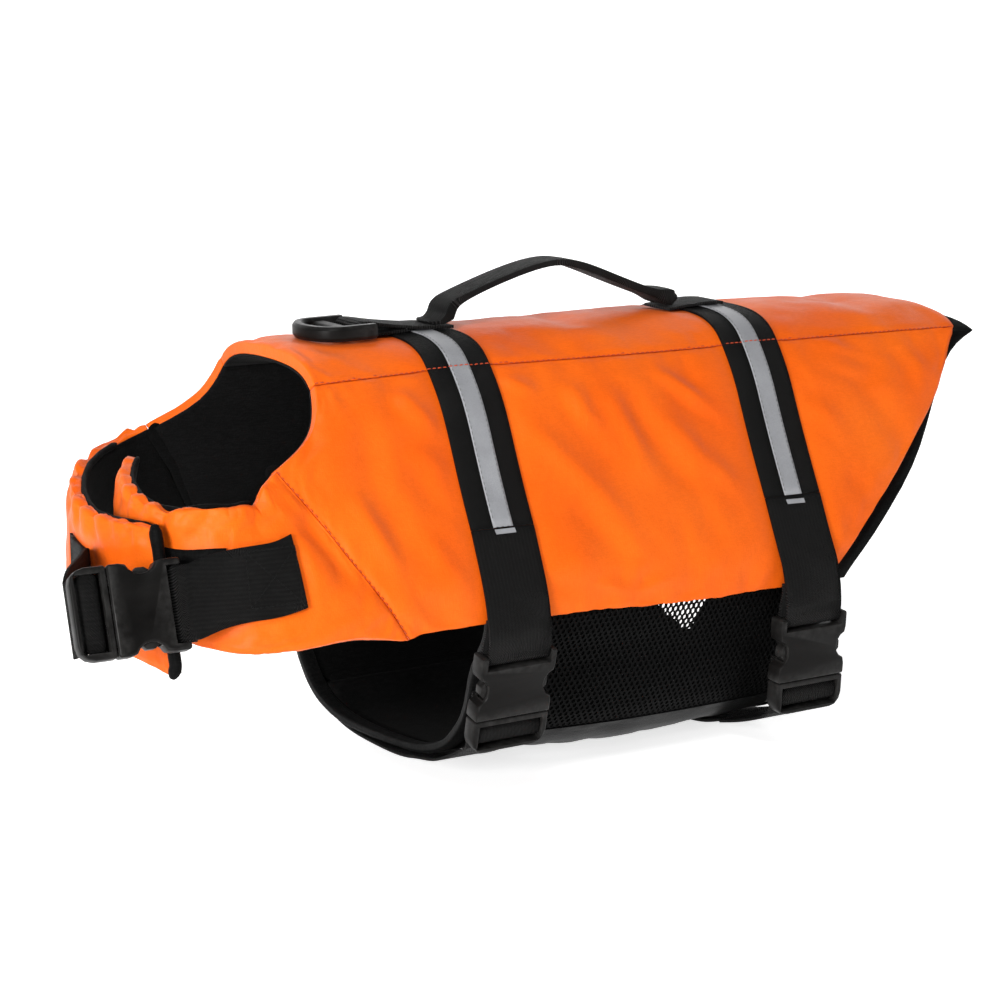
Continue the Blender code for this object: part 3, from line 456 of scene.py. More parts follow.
TAPE = grey_tape()
RED_THREAD = thread_finish("red_orange_thread", (0.60, 0.062, 0.011))
ORANGE_THREAD = thread_finish("orange_thread", (0.62, 0.075, 0.008))
BLACK_THREAD = thread_finish("black_thread", (0.0075, 0.0073, 0.0072), 0.015, 0.12)
GREY_THREAD = thread_finish("grey_thread", (0.16, 0.16, 0.165))
# pale colour of the thin tubes along the tail edges: a painted highlight
HIGHLIGHT_PAINTED_THREAD = thread_finish("thread_with_painted_highlight", (0.85, 0.70, 0.58))
PLASTIC = moulded_nylon()
print("finishes:", [m.name for m in bpy.data.materials])

# %% [markdown]
# ## Padded panels
# Top, sides and neck flaps are foam slabs in orange cloth. The cover is sewn flat at its seams and
# swells between them. We let cloth do this itself: the copy gets a Cloth modifier with air
# pressure, its seams are pinned, gravity is off, and it is cut two per cent too large, so that it
# buckles a little near the pins as real cloth does. The panels end in thin sewn edges, which a
# voxel remesh would eat, so the cloth runs on the joined and smoothed faces themselves. No point
# may move further than the cap, and cloth under a strap, under the ring or against the lining
# stays where it is.


# %% Where straps hold the cloth down
def surface_of(*pieces):
    """One search tree over the faces of several pieces."""
    corners, faces = [], []
    for piece in pieces:
        start = len(corners)
        corners += [v.co for v in piece.data.vertices]
        faces += [[start + i for i in f.vertices] for f in piece.data.polygons]
    return BVHTree.FromPolygons(corners, faces)


PRESSING = ("strip", "webbing", "buckle", "patch", "handle", "leash_ring")
strap_solids = surface_of(*[solid for node, solid in solids.items()
                            if any(word in node for word in PRESSING)])


TOUCHING, FADE = 1.2, 7.5      # mm: held this near a strap, and wholly free so much further off


def free_of_straps(points):
    """0 where a strap, buckle or ring lies on the cloth, 1 from about 9 mm beside it."""
    away = np.array([strap_solids.find_nearest(Vector(p) / 1000)[3] for p in points]) * 1000
    return ease((away - TOUCHING) / FADE)


# %% Lay out the padded panels
PADS = {"top_panel": 0.8, "side_panel_left": 0.8, "side_panel_right": 0.8,
        "neck_flap_left": 0.7, "neck_flap_right": 0.7}
pads = {}
for node, fill in PADS.items():
    pad = new_piece(node + "_cover", skin_of(node), ORANGE)
    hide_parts(node)
    subdivide(pad, 2)
    pads[node] = pad
print("padded covers:", {n: len(p.data.vertices) for n, p in pads.items()})


# %% Let the covers swell
SWELL_STEPS, PRESSURE = 20, 4.0


def swell(pieces, cap):
    """Air pressure on pieces whose marked edges are pinned; moves outer points by up to cap mm."""
    before = {}
    for piece in pieces:
        marks = piece.data.attributes.get("crease_edge")
        sharp = np.zeros(len(piece.data.edges))
        marks.data.foreach_get("value", sharp)
        ends = np.empty(len(piece.data.edges) * 2, int)
        piece.data.edges.foreach_get("vertices", ends)
        pinned = sorted(set(ends.reshape(-1, 2)[sharp > 0.5].ravel().tolist()))
        seam = piece.vertex_groups.new(name="seam")
        seam.add(pinned, 1.0, "REPLACE")
        cloth = piece.modifiers.new("swell", "CLOTH")
        cloth.settings.quality = 5
        cloth.settings.mass = 0.25
        cloth.settings.tension_stiffness = cloth.settings.compression_stiffness = 12
        cloth.settings.bending_stiffness = 0.15
        cloth.settings.use_pressure = True
        cloth.settings.uniform_pressure_force = PRESSURE
        cloth.settings.vertex_group_mass = "seam"
        cloth.settings.shrink_min = -0.02
        cloth.settings.effector_weights.gravity = 0
        cloth.point_cache.frame_start, cloth.point_cache.frame_end = 1, SWELL_STEPS
        before[piece.name] = read_points(piece)
    for step in range(1, SWELL_STEPS + 1):
        bpy.context.scene.frame_set(step)
    graph = bpy.context.evaluated_depsgraph_get()
    for piece in pieces:
        swollen = np.empty(len(piece.data.vertices) * 3)
        piece.evaluated_get(graph).data.vertices.foreach_get("co", swollen)
        moved = swollen.reshape(-1, 3) * 1000 - before[piece.name]
        far = np.linalg.norm(moved, axis=1, keepdims=True)
        moved *= cap * np.tanh(far / cap) / np.maximum(far, 1e-6)
        free = free_of_straps(before[piece.name])
        free *= outwards(before[piece.name], read_directions(piece))
        moved *= free[:, None]
        piece.modifiers.clear()
        piece.vertex_groups.clear()
        write_points(piece, before[piece.name] + moved)
        far = np.linalg.norm(moved, axis=1)
        print(piece.name, "swelled by up to", round(float(far.max()), 2), "mm, on average",
              round(float(far.mean()), 2))
    bpy.context.scene.frame_set(1)


swell(list(pads.values()), cap=1.6)
for pad in pads.values():
    subdivide(pad, 1)

# %% [markdown]
# ## Creases of the side panels
# The cover hangs from the spine seam and is drawn down by the two belts, so its creases run from
# the seam downwards and towards the tail. They are drawn one by one: no two have the same length,
# width or depth, some meet, and some die out in the middle of the panel. Each line below is a list
# of x, z points; the surface gives the y.

# %% Draw the creases of the near side
NEAR_FOLDS = [
    # line (x, z), width, height: long valleys and ridges between the two belts
    ([(-44, -6), (-38, -22), (-22, -46), (-6, -67)], 6.5, -1.5),
    ([(-51, -65), (-32, -87), (-13, -114)], 8.0, -1.7),
    ([(-16, -4), (-18, -15), (-12, -30)], 3.5, -0.7),
    ([(4, -5), (7, -28), (26, -62), (47, -89)], 7.5, -1.9),
    ([(21, -7), (43, -29), (74, -51)], 6.0, -1.3),
    ([(18, -77), (18, -103), (16, -115)], 5.0, -0.8),
    ([(34, -72), (39, -92), (43, -108)], 7.0, -0.9),
    # the puckered spot on the hem
    ([(-29, -103), (-24, -110), (-21, -118)], 2.6, -0.9),
    ([(-13, -100), (-17, -110), (-20, -118)], 2.4, 0.8),
    ([(-2, -106), (-12, -112), (-19, -119)], 2.4, -0.8),
    ([(6, -112), (-6, -116), (-17, -120)], 2.2, 0.6),
    ([(-42, -109), (-31, -114), (-22, -119)], 2.6, 0.7),
    ([(-76, -4), (-49, -15)], 4.5, 1.1),
    ([(-70, -21), (-54, -38), (-29, -67), (-5, -101)], 6.5, 1.7),
    ([(-31, -7), (-27, -25), (-18, -38)], 4.5, 1.2),
    ([(-10, -11), (2, -44), (8, -70)], 5.5, 1.4),
    ([(22, -5), (43, -20), (66, -38)], 5.0, 1.2),
    ([(20, -25), (41, -54), (74, -83)], 6.5, 1.7),
    ([(-60, -88), (-44, -104), (-30, -116)], 7.0, 0.8),
    # between the neck and the front belt
    ([(-139, -4), (-126, -19), (-116, -31)], 5.5, 1.4),
    ([(-160, -7), (-162, -49), (-152, -78), (-140, -103)], 9.0, -1.7),
    ([(-140, -39), (-130, -59), (-117, -69)], 6.0, -1.1),
    ([(-180, -47), (-165, -78), (-155, -99)], 5.5, 1.5),
    ([(-138, -30), (-115, -54)], 5.5, 0.9),
    ([(-142, -72), (-128, -96), (-117, -112)], 6.5, 0.9),
    # between the rear belt and the tail
    ([(141, -16), (158, -22), (174, -31)], 4.5, -0.9),
    ([(150, -5), (165, -9), (178, -14)], 3.5, 0.8),
    ([(121, -30), (138, -43), (150, -60)], 6.0, 1.0),
    ([(136, -75), (158, -84)], 7.0, -0.9),
    ([(122, -8), (130, -30), (126, -60)], 5.0, -0.7),
    ([(196, -6), (205, -22), (203, -40)], 6.0, -0.7)]
FAR_FOLDS = [
    ([(-60, -5), (-44, -30), (-30, -64)], 6.5, -1.6),
    ([(-28, -4), (-8, -38), (20, -80)], 7.5, 1.7),
    ([(0, -6), (30, -44), (58, -70)], 7.0, -1.8),
    ([(34, -5), (52, -26), (72, -40)], 5.0, 1.2),
    ([(-58, -60), (-38, -92), (-26, -116)], 7.0, 1.3),
    ([(-12, -70), (2, -96), (6, -118)], 8.0, -1.6),
    ([(50, -84), (60, -104), (66, -118)], 6.0, 0.9),
    ([(-148, -5), (-150, -42), (-140, -82), (-128, -108)], 8.0, -1.6),
    ([(-130, -8), (-120, -30)], 5.0, 1.2),
    ([(-172, -52), (-158, -80), (-150, -104)], 6.0, 1.5),
    ([(-136, -50), (-118, -78)], 6.0, 0.9),
    ([(136, -10), (150, -34), (170, -48)], 6.0, -1.2),
    ([(122, -34), (136, -64)], 6.0, 1.0),
    ([(180, -8), (196, -26), (206, -36)], 5.5, 0.9)]


def from_beside(surface, side, x, z):
    """Where a ray from the jacket's left (-1) or right (1) meets a surface, or nothing."""
    return surface.ray_cast(Vector((x / 1000, side * 0.3, z / 1000)), Vector((0, -side, 0)))[0]


def on_side(line, side, surface):
    """x, z points laid on the panel: a ray from outside finds y."""
    found = []
    for x, z in line:
        hit = from_beside(surface, side, x, z)
        found.append((x, (hit.y if hit else side * 0.1) * 1000, z))
    return found


def mirrored(line):
    return [(x, -y, z) for x, y, z in line]


SEAM_LEFT = [(-181, -51.5, 1.0), (-150, -49.3, 1.3), (-112, -47.3, 1.7), (-93, -47.0, 1.7),
             (-74, -47.3, 1.7), (-40, -49.1, 1.5), (0, -49.6, 0.7), (40, -49.5, 0.1),
             (80, -47.8, -0.4), (99, -47.6, -0.5), (118, -47.8, -0.6), (150, -49.0, -0.7),
             (190, -49.9, -1.1), (220, -50.5, -1.5), (247, -51.0, -2.0)]
SEAM_RIGHT = [(-181, 57.0, 1.0), (-150, 52.2, 1.3), (-112, 47.3, 1.7), (-93, 46.8, 1.7),
              *mirrored(SEAM_LEFT[4:])]
HEM_LEFT = [(-158, -107.1, -125.3), (-146, -106, -122.8), (-112, -104.3, -123.3),
            (-74, -104.5, -124.7), (-40, -106, -124.5), (0, -106.5, -127.5), (30, -106.4, -128.6),
            (80, -104.3, -129), (112, -104.3, -130)]
DIAGONAL_LEFT = [(-215.1, -73.6, -36.7), (-205.9, -78.9, -49.6), (-196.3, -84.9, -62.4),
                 (-188.7, -91.5, -75.4), (-180.5, -97.8, -88.3), (-171.8, -102.7, -101.2),
                 (-163.5, -105.9, -114.8), (-158.0, -107.1, -125.3)]
DIAGONAL_RIGHT = [(-215.1, 82.4, -36.7), (-205.9, 86.8, -49.6), (-196.3, 91.8, -62.4),
                  (-188.7, 97.7, -75.4), (-180.5, 103.3, -88.3), (-171.8, 107.4, -101.2),
                  (-163.5, 109.9, -114.8), (-158.0, 110.7, -125.3)]


def pucker(points, lift, line, spacing, reach, height, seed):
    """Little cloth waves that stand across a seam and die out away from it."""
    away, place, _ = measure_from(line, points)
    drift = 2.2 * np.sin(place / 23.0 + seed) + 1.3 * np.sin(place / 9.1 + 2.0 * seed)
    wave = np.sin((place + drift * spacing / 6) * 2 * math.pi / spacing)
    lift += height * wave * np.exp(-away / reach) * (0.6 + 0.4 * np.sin(place / 31.0 + seed))


VALLEY_DEPTH, RIDGE_HEIGHT = 1.0, 1.75      # how strongly drawn valleys and ridges are made
SEAM_VALLEY = 0.7                           # how far the stitches pull the cloth in, in mm


def hold_down(points, directions, lift, from_seam):
    """Keeps a lift small along the seams, under straps and on the inner face."""
    lift *= 0.15 + 0.85 * ease(from_seam / 5.0)                # whole from 5 mm beside a seam
    lift -= SEAM_VALLEY * np.exp(-(from_seam / 2.2) ** 2)      # a valley about 4 mm wide
    lift *= outwards(points, directions) * (0.2 + 0.8 * free_of_straps(points))


def print_lift(node, lift):
    print(node, "creases from", round(float(lift.min()), 2), "to", round(float(lift.max()), 2))


def crease_side(node, side, folds, seam, diagonal, hem, seed):
    panel = pads[node]
    points, directions = read_points(panel), read_directions(panel)
    surface = surface_of(panel)
    lift = 0.4 * uneven(points, 26.0, seed) + 0.28 * uneven(points, 9.0, seed + 3)
    for line, width, height in folds:
        drawn = on_side(line, side, surface)
        height *= VALLEY_DEPTH if height < 0 else RIDGE_HEIGHT
        press_fold(points, lift, drawn, width, height)
        if height < 0:      # the cloth that a valley takes up stands beside it as a narrow ridge
            beside = [(x + 1.25 * width, y, z + 0.35 * width) for x, y, z in drawn]
            press_fold(points, lift, beside, width * 0.5, -height * 0.4)
    pucker(points, lift, seam, 8.5, 5.5, 0.55, seed)
    pucker(points, lift, diagonal, 9.5, 7.0, 0.7, seed + 1)
    pucker(points, lift, hem, 12.0, 6.0, 0.35, seed + 2)
    from_seam = np.minimum(measure_from(seam, points)[0], measure_from(diagonal, points)[0])
    hold_down(points, directions, lift, from_seam)
    write_points(panel, points + directions * lift[:, None])
    print_lift(node, lift)


crease_side("side_panel_left", -1, NEAR_FOLDS, SEAM_LEFT, DIAGONAL_LEFT, HEM_LEFT, 1)
crease_side("side_panel_right", 1, FAR_FOLDS, SEAM_RIGHT, DIAGONAL_RIGHT, mirrored(HEM_LEFT), 2)

# %% [markdown]
# ## The top panel and the neck flaps
# The top lies flat over its foam, so its creases are short and lie near the seams, the belts and
# the handle's feet. The flaps were gathered along the neck edge before they were bound: soft puffs
# of unequal width, with a narrow crease running down from every dip between them. A sine wave
# would give equal puffs, so every dip has its own place, depth and slant.

# %% Crease the top panel
top = pads["top_panel"]
points, directions = read_points(top), read_directions(top)
lift = 0.35 * uneven(points, 30.0, 5) + 0.14 * uneven(points, 10.0, 8)
TOP_FOLDS = [
    ([(-176, -40, 8), (-150, -34, 12), (-132, -30, 14)], 5.0, 0.8),
    ([(-170, 10, 14), (-150, 24, 12), (-138, 40, 8)], 6.0, -0.9),
    ([(-60, -44, 8), (-48, -28, 13), (-44, -18, 15)], 5.0, -0.9),
    ([(-30, -46, 6), (-10, -34, 12), (20, -30, 13)], 6.0, 0.8),
    ([(30, -47, 5), (44, -34, 11), (50, -20, 14)], 5.0, -0.9),
    ([(-40, 46, 6), (-24, 30, 12), (10, 26, 13)], 6.0, -0.9),
    ([(20, 47, 5), (48, 30, 12)], 5.0, 0.8),
    ([(125, -46, 4), (150, -30, 10), (176, -26, 10)], 6.0, 0.9),
    ([(150, -10, 11), (190, -4, 10), (226, -8, 8)], 7.0, -0.9),
    ([(130, 40, 6), (164, 26, 10), (206, 30, 8)], 6.0, -0.8),
    ([(200, -44, 2), (222, -28, 7), (238, -10, 7)], 5.0, 0.9)]
for line, width, height in TOP_FOLDS:
    press_fold(points, lift, line, width, height)
for seam, seed in ((SEAM_LEFT, 11), (SEAM_RIGHT, 12)):
    pucker(points, lift, seam, 8.5, 6.0, 0.4, seed)
hold_down(points, directions, lift, np.minimum(measure_from(SEAM_LEFT, points)[0],
                                               measure_from(SEAM_RIGHT, points)[0]))
write_points(top, points + directions * lift[:, None])
print_lift("top_panel", lift)

# %% Gather and crease the neck flaps
NECK_LEFT = [(-215.1, -73.6, -36.7), (-221.9, -75.7, -43.0), (-229.0, -78.2, -50.9),
             (-240.2, -78.5, -52.2), (-254.5, -73.8, -51.5), (-265.9, -65.0, -53.6),
             (-272.0, -52.0, -53.5), (-274.4, -38.4, -51.9), (-273.5, -24.1, -49.7),
             (-269.7, -8.9, -47.2), (-263.2, 6.4, -44.2), (-254.0, 20.0, -40.5)]
NECK_RIGHT = [(-215.1, 82.4, -36.7), (-224.6, 84.0, -40.9), (-236.5, 80.8, -44.1),
              (-250.9, 71.1, -46.5), (-263.8, 58.7, -49.4), (-274.4, 43.6, -53.2),
              (-282.1, 27.4, -56.9), (-286.8, 10.4, -60.0), (-289.4, -7.2, -61.9),
              (-288.6, -26.0, -61.8), (-285.1, -44.1, -61.1), (-279.6, -60.8, -60.5)]
LEFT_FLAP_FOLDS = [
    ([(-211, -80, -50), (-196, -92, -75), (-176, -104, -106)], 6.0, -1.6),
    ([(-226, -84, -62), (-206, -96, -84), (-188, -106, -112)], 7.0, 0.9),
    ([(-232, -80, -56), (-228, -88, -70), (-216, -95, -84)], 4.5, -0.8),
    ([(-250, -80, -60), (-246, -86, -72)], 4.0, -0.8),
    ([(-262, -70, -60), (-260, -76, -74)], 4.0, -0.9),
    ([(-271, -54, -58), (-268, -60, -76)], 4.0, -0.8),
    ([(-244, -96, -112), (-222, -104, -110), (-204, -106, -108)], 5.5, -0.9)]
RIGHT_FLAP_FOLDS = [
    ([(-211, 88, -50), (-196, 99, -75), (-176, 108, -106)], 6.0, -1.5),
    ([(-226, 92, -62), (-206, 103, -84), (-188, 110, -112)], 7.0, 0.9),
    ([(-252, 75, -56), (-246, 88, -80)], 5.0, -0.9),
    ([(-268, 57, -60), (-266, 66, -90)], 5.0, -1.0),
    ([(-285, 18, -66), (-284, 24, -92), (-280, 30, -112)], 5.0, -1.1),
    ([(-289, -20, -70), (-287, -16, -84)], 4.5, 0.9),
    ([(-285, -44, -68), (-280, -54, -92), (-277, -62, -120)], 5.5, -0.9),
    ([(-283, -56, -66), (-281, -50, -76)], 3.5, 0.8)]
FLAP_STRENGTH = 1.4      # the flaps' drawn creases are made this much stronger

# where each dip lies along the neck edge in mm, its depth, its slant on the way down, its width
LEFT_DIPS = [(21, 0.6, 0.3, 6.0), (45, 0.9, 0.5, 6.0), (68, 0.9, 0.4, 5.5), (86, 0.5, 0.2, 4.5),
             (101, 0.5, -0.2, 4.4), (115, 0.35, 0.2, 4.0), (129, 0.4, -0.1, 4.0)]
RIGHT_DIPS = [(24, 0.6, 0.2, 6.5), (48, 1.0, 0.4, 7.0), (73, 0.9, 0.3, 6.5), (98, 1.0, -0.1, 6.0),
              (118, 0.6, 0.3, 5.0), (137, 0.8, 0.6, 5.0), (154, 0.4, 0.6, 4.4),
              (168, 0.6, 0.8, 4.6), (182, 0.4, 0.5, 4.0)]


def gather_flap(node, neck, dips, folds, diagonal, seed):
    flap = pads[node]
    points, directions = read_points(flap), read_directions(flap)
    lift = 0.45 * uneven(points, 22.0, seed) + 0.35 * uneven(points, 9.0, seed + 4)
    for line, width, height in folds:
        press_fold(points, lift, line, width, height * FLAP_STRENGTH)
    away, place, run = measure_from(neck, points)
    ends = ease(place / 12.0) * ease((run - place) / 6.0)
    lift += 1.3 * np.exp(-(away / 15.0) ** 2) * ends
    drop = np.zeros(len(points))
    for spot, deep, slant, broad in dips:
        off = place - spot - slant * away
        reach = 0.8 * broad + 0.12 * away      # a dip widens on its way down
        hollow = np.exp(-(off / reach) ** 2)
        lift -= 2.3 * deep * hollow * np.exp(-away / (9.0 + 10.0 * deep)) * ends
        beside = np.exp(-((off - 1.5 * broad - 0.2 * away) / reach) ** 2)
        lift += 0.8 * deep * beside * np.exp(-away / 16.0) * ends
        notch = np.exp(-((place - spot) / broad) ** 2) * np.exp(-(away / 7.0) ** 2)
        drop += 0.6 * deep * notch * ends
    pucker(points, lift, diagonal, 9.0, 6.0, 0.5, seed)
    hold_down(points, directions, lift, measure_from(diagonal, points)[0])
    points = points + directions * lift[:, None]
    points[:, 2] -= drop
    write_points(flap, points)
    print_lift(node, lift)


gather_flap("neck_flap_left", NECK_LEFT, LEFT_DIPS, LEFT_FLAP_FOLDS, DIAGONAL_LEFT, 3)
gather_flap("neck_flap_right", NECK_RIGHT, RIGHT_DIPS, RIGHT_FLAP_FOLDS, DIAGONAL_RIGHT, 4)
for pad in pads.values():
    keep_sharp(pad, 60)

# %% [markdown]
# ## Linings
# Behind every padded panel lies one layer of black nylon. It shows through the neck opening and as
# a lip past the tail edge. It is a sheet: a thin closed shell with small waves that differ from
# panel to panel.

# %% Cut the linings
LININGS = {
    # node: flat width, flat length, area of the cut where it isn't a rectangle
    "top_lining": (0.105, 0.450, 0.0397), "side_lining_left": (0.150, 0.484, 0.0535),
    "side_lining_right": (0.150, 0.484, 0.0536), "neck_flap_left_lining": (0.088, 0.187, 0.0128),
    "neck_flap_right_lining": (0.088, 0.228, 0.0164)}


WAVE_SIZE = 18.0      # mm


def soft_shell(node, suffix, finish,
               levels=1, waves=0.0, seed=1):
    """A node's skin as thin cloth."""
    shell = new_piece(node + suffix, skin_of(node), finish)
    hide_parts(node)
    subdivide(shell, levels)
    points = read_points(shell)
    drift = uneven(points, WAVE_SIZE, seed)
    away = points - np.array([0.0, 0.0, HOLLOW_MIDDLE])
    away /= np.linalg.norm(away, axis=1, keepdims=True)
    write_points(shell, points + away * (waves * drift)[:, None])
    keep_sharp(shell)
    return shell


linings = {}
for seed, (node, (width, length, area)) in enumerate(LININGS.items()):
    under = node.replace("_lining", "_panel") if "flap" not in node else node.replace("_lining", "")
    linings[node] = soft_shell(node, "_cloth", LINING,
                               waves=0.12, seed=seed)
print("linings:", {n: len(p.data.polygons) for n, p in linings.items()})

# %% [markdown]
# ## Belts, strips and handle
# Flat webbing is modelled directly: it hardly stretches, so it keeps its width and bends only
# along its length. To lay the rib map along a strap we walk over its mesh from one end and note
# how far every corner is from there, as an ant would measure it. The ant's ways bend a little at
# the faces, so its numbers only serve to draw the strap's middle line, and the final number is the
# place of each corner along that line. So the ribs stand straight across the strap.


# %% Lay a map along a strap
def middle_line(places, points, step=5.0, rounds=3):
    """A line down the middle of a strap, and every point's place on it."""
    for _ in range(rounds):
        marks = np.arange(0, places.max() + step, step)
        line = [points[np.abs(places - m) < step * 0.8].mean(axis=0) for m in marks
                if (np.abs(places - m) < step * 0.8).any()]
        ahead, behind = 2 * np.array(line[0]) - line[1], 2 * np.array(line[-1]) - line[-2]
        places = measure_from([ahead, *line, behind], points)[1]
    return places


def lay_run(skin, start, across):
    """Stores distance along the strap, and place across it, as the UV map "run", in metres."""
    nearest = min(skin.faces, key=lambda f: (f.calc_center_median() - Vector(start)).length)
    reached = {v: 0.0 for v in nearest.verts}
    queue = [(0.0, v.index, v) for v in nearest.verts]
    while queue:
        far, _, corner = heapq.heappop(queue)
        if far > reached.get(corner, 1e9):
            continue
        for edge in corner.link_edges:
            other, reach = edge.other_vert(corner), far + edge.calc_length()
            if reach < reached.get(other, 1e9):
                reached[other] = reach
                heapq.heappush(queue, (reach, other.index, other))
    corners = list(skin.verts)
    places = middle_line(np.array([reached[v] for v in corners]) * 1000,
                         np.array([v.co for v in corners]) * 1000) / 1000
    reached = dict(zip(corners, places))
    run = skin.loops.layers.uv.new("run")
    for face in skin.faces:
        for loop in face.loops:
            place = loop.vert.co.dot(Vector(across))
            loop[run].uv = (reached[loop.vert], place)
    return max(reached.values())


STRAPS = {
    # node: start of the run, direction across, width, length, finish, what it lies on, held
    "front_back_strip": ((-0.093, -0.093, -0.078), (1, 0, 0), 0.038, 0.293, STRIP_CLOTH,
                         ["side_panel_left_cover", "top_panel_cover"], "stretched"),
    "rear_back_strip": ((0.099, -0.092, -0.082), (1, 0, 0), 0.038, 0.299, STRIP_CLOTH,
                        ["side_panel_left_cover", "top_panel_cover"], "stretched"),
    "front_left_webbing": ((-0.093, -0.093, -0.076), (1, 0, 0), 0.038, 0.105, WEBBING,
                           ["side_panel_left_cover"], "stretched"),
    "rear_left_webbing": ((0.099, -0.092, -0.081), (1, 0, 0), 0.038, 0.108, WEBBING,
                          ["side_panel_left_cover"], "stretched"),
    "front_under_belly_webbing": ((-0.093, 0.092, -0.076), (1, 0, 0), 0.038, 0.372, WEBBING,
                                  ["side_panel_right_cover"], "stretched"),
    "rear_under_belly_webbing": ((0.099, 0.092, -0.081), (1, 0, 0), 0.038, 0.379, WEBBING,
                                 ["side_panel_right_cover"], "stretched"),
    "chest_webbing_left": ((-0.210, -0.096, -0.086), (0, 0, 1), 0.038, 0.086, WEBBING,
                           ["neck_flap_left_cover"], "stretched"),
    "chest_webbing_right": ((-0.285, 0.012, -0.094), (0, 0, 1), 0.038, 0.144, WEBBING,
                            ["neck_flap_right_cover"], "stretched"),
    "spine_webbing": ((-0.0745, 0.0, 0.0178), (0, 1, 0), 0.025, 0.092, WEBBING,
                      ["top_panel_cover"], "laid"),
    "rear_spine_webbing": ((0.107, 0.0, 0.0177), (0, 1, 0), 0.025, 0.039, WEBBING,
                           ["top_panel_cover"], "laid"),
    "handle": ((-0.088, 0.0, 0.0205), (0, 1, 0), 0.023, 0.195, WEBBING, ["spine_webbing_woven"],
               "stretched")}
for node, (start, across, width, length, finish, under, held) in STRAPS.items():
    skin = skin_of(node)
    reach = lay_run(skin, start, across)
    if node == "handle":      # the folds above its feet are soft, so their ends may round
        marks = skin.edges.layers.float["crease_edge"]
        for edge in skin.edges:
            if min(v.co.x for v in edge.verts) > 0.074 or max(v.co.x for v in edge.verts) < -0.085:
                edge[marks] = 0.0
    strap = new_piece(node + "_woven", skin, finish)
    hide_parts(node)
    subdivide(strap, 2)
    if node == "handle":      # doubled and hand-worn: fuller towards the tail and at its last fold
        points, directions = read_points(strap), read_directions(strap)
        fuller = 0.8 * ease((points[:, 0] + 12) / 30) * ease((80 - points[:, 0]) / 8)
        fuller += 0.8 * np.exp(-((points[:, 0] - 70) / 6) ** 2)
        write_points(strap, points + directions * fuller[:, None])
    keep_sharp(strap)
    print(node, "run", round(reach * 1000), "mm")

# %% Reflective tapes and the hook-and-loop patch
tapes = {}
for word in ("front", "rear"):      # their short ends are laid further down
    tapes[word] = soft_shell(word + "_reflective_tape", "_film", TAPE, levels=2)
soft_shell("hook_and_loop_patch", "_pile", LINING,
           levels=2)

# %% [markdown]
# ## The belly
# Below the hem the jacket is closed by a padded black panel with an air mesh on each side. Both
# ends are bound. The panel is padded, so it swells like the orange panels; its bound ends only get
# small waves. The mesh is a real net: six-sided holes, cut into a thin sheet. Behind it lies a
# black sheet of painted shade, for the shade inside the jacket's hollow; it leaves a small gap near
# the hem, where daylight comes through.

# %% Belly panel and bindings
belly = []
for node, fill in (("belly_panel", 0.5), ("belly_binding_front", 0.6), ("belly_binding_rear", 0.6)):
    roll = new_piece(node + "_cover", skin_of(node, 50), BELLY_CLOTH)
    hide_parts(node)
    subdivide(roll, 2)
    belly.append(roll)
swell(belly[:1], cap=0.8)
for roll, seed in zip(belly, (21, 22, 23)):
    points, directions = read_points(roll), read_directions(roll)
    lift = 0.35 * uneven(points, 20.0, seed) + 0.15 * uneven(points, 7.0, seed + 5)
    write_points(roll, points + directions * lift[:, None])
    keep_sharp(roll)
print("belly pieces:", [p.name for p in belly])


# %% [markdown]
# ## The net
# An air mesh is a sheet full of six-sided holes. Drawing one hole and repeating it in flat space is
# easy; the flat sheet is then laid on the belly's curve. For that we need a table that says, for a
# place on the flat cloth, where it lies on the jacket. Rays from the side fill it. Evenly spaced
# steps along the curve, and not along the height, keep the holes equal where the belly turns in.

# %% A table from flat cloth to belly
ALONG, DOWN = 56, 110


def flat_to_belly(node, side):
    """Outer face of the mesh as a table over x and over the share of the way down its curve."""
    surface = surface_of(solids[node])
    corners = np.array([v.co for v in solids[node].data.vertices]) * 1000
    low, high = corners.min(axis=0), corners.max(axis=0)
    places = np.linspace(low[0] + 0.3, high[0] - 0.3, ALONG)
    heights = np.linspace(high[2] - 0.3, low[2] + 0.5, DOWN)
    table = []
    for x in places:
        found = []
        for z in heights:
            hit = from_beside(surface, side, x, z)
            if hit is not None:
                found.append((hit.y * 1000, z))
        if len(found) < DOWN * 0.8:      # too few rays met the cloth: use the column before
            found = last
        last = found
        column = np.array(found)
        run = np.concatenate([[0], np.cumsum(np.linalg.norm(np.diff(column, axis=0), axis=1))])
        even = np.linspace(0, run[-1], DOWN)
        table.append(np.stack([np.full(DOWN, x), np.interp(even, run, column[:, 0]),
                               np.interp(even, run, column[:, 1])], axis=1))
    table = np.array(table)
    out = np.cross(np.gradient(table, axis=0), np.gradient(table, axis=1))
    out /= np.linalg.norm(out, axis=2, keepdims=True)
    out *= np.sign(out[ALONG // 2, 4, 1]) * side
    long = float(np.linalg.norm(np.diff(table, axis=1), axis=2).sum(axis=1).mean())
    return table, out, float(places[-1] - places[0]), long


def read_table(table, wide, long, spots):
    """Values of a table at spots on the flat cloth, in millimetres."""
    i = np.clip(spots[:, 0] / wide * (ALONG - 1), 0, ALONG - 1.001)
    k = np.clip(spots[:, 1] / long * (DOWN - 1), 0, DOWN - 1.001)
    a, b = i.astype(int), k.astype(int)
    s, t = (i - a)[:, None], (k - b)[:, None]
    return ((table[a, b] * (1 - s) + table[a + 1, b] * s) * (1 - t)
            + (table[a, b + 1] * (1 - s) + table[a + 1, b + 1] * s) * t)


SIDES = ((-1, "left"), (1, "right"))      # the sign of y, and the word in the names
belly_maps = {side: flat_to_belly("belly_mesh_" + word, side) for side, word in SIDES}
print("flat mesh in mm:", [[round(m[2], 1), round(m[3], 1)] for m in belly_maps.values()])

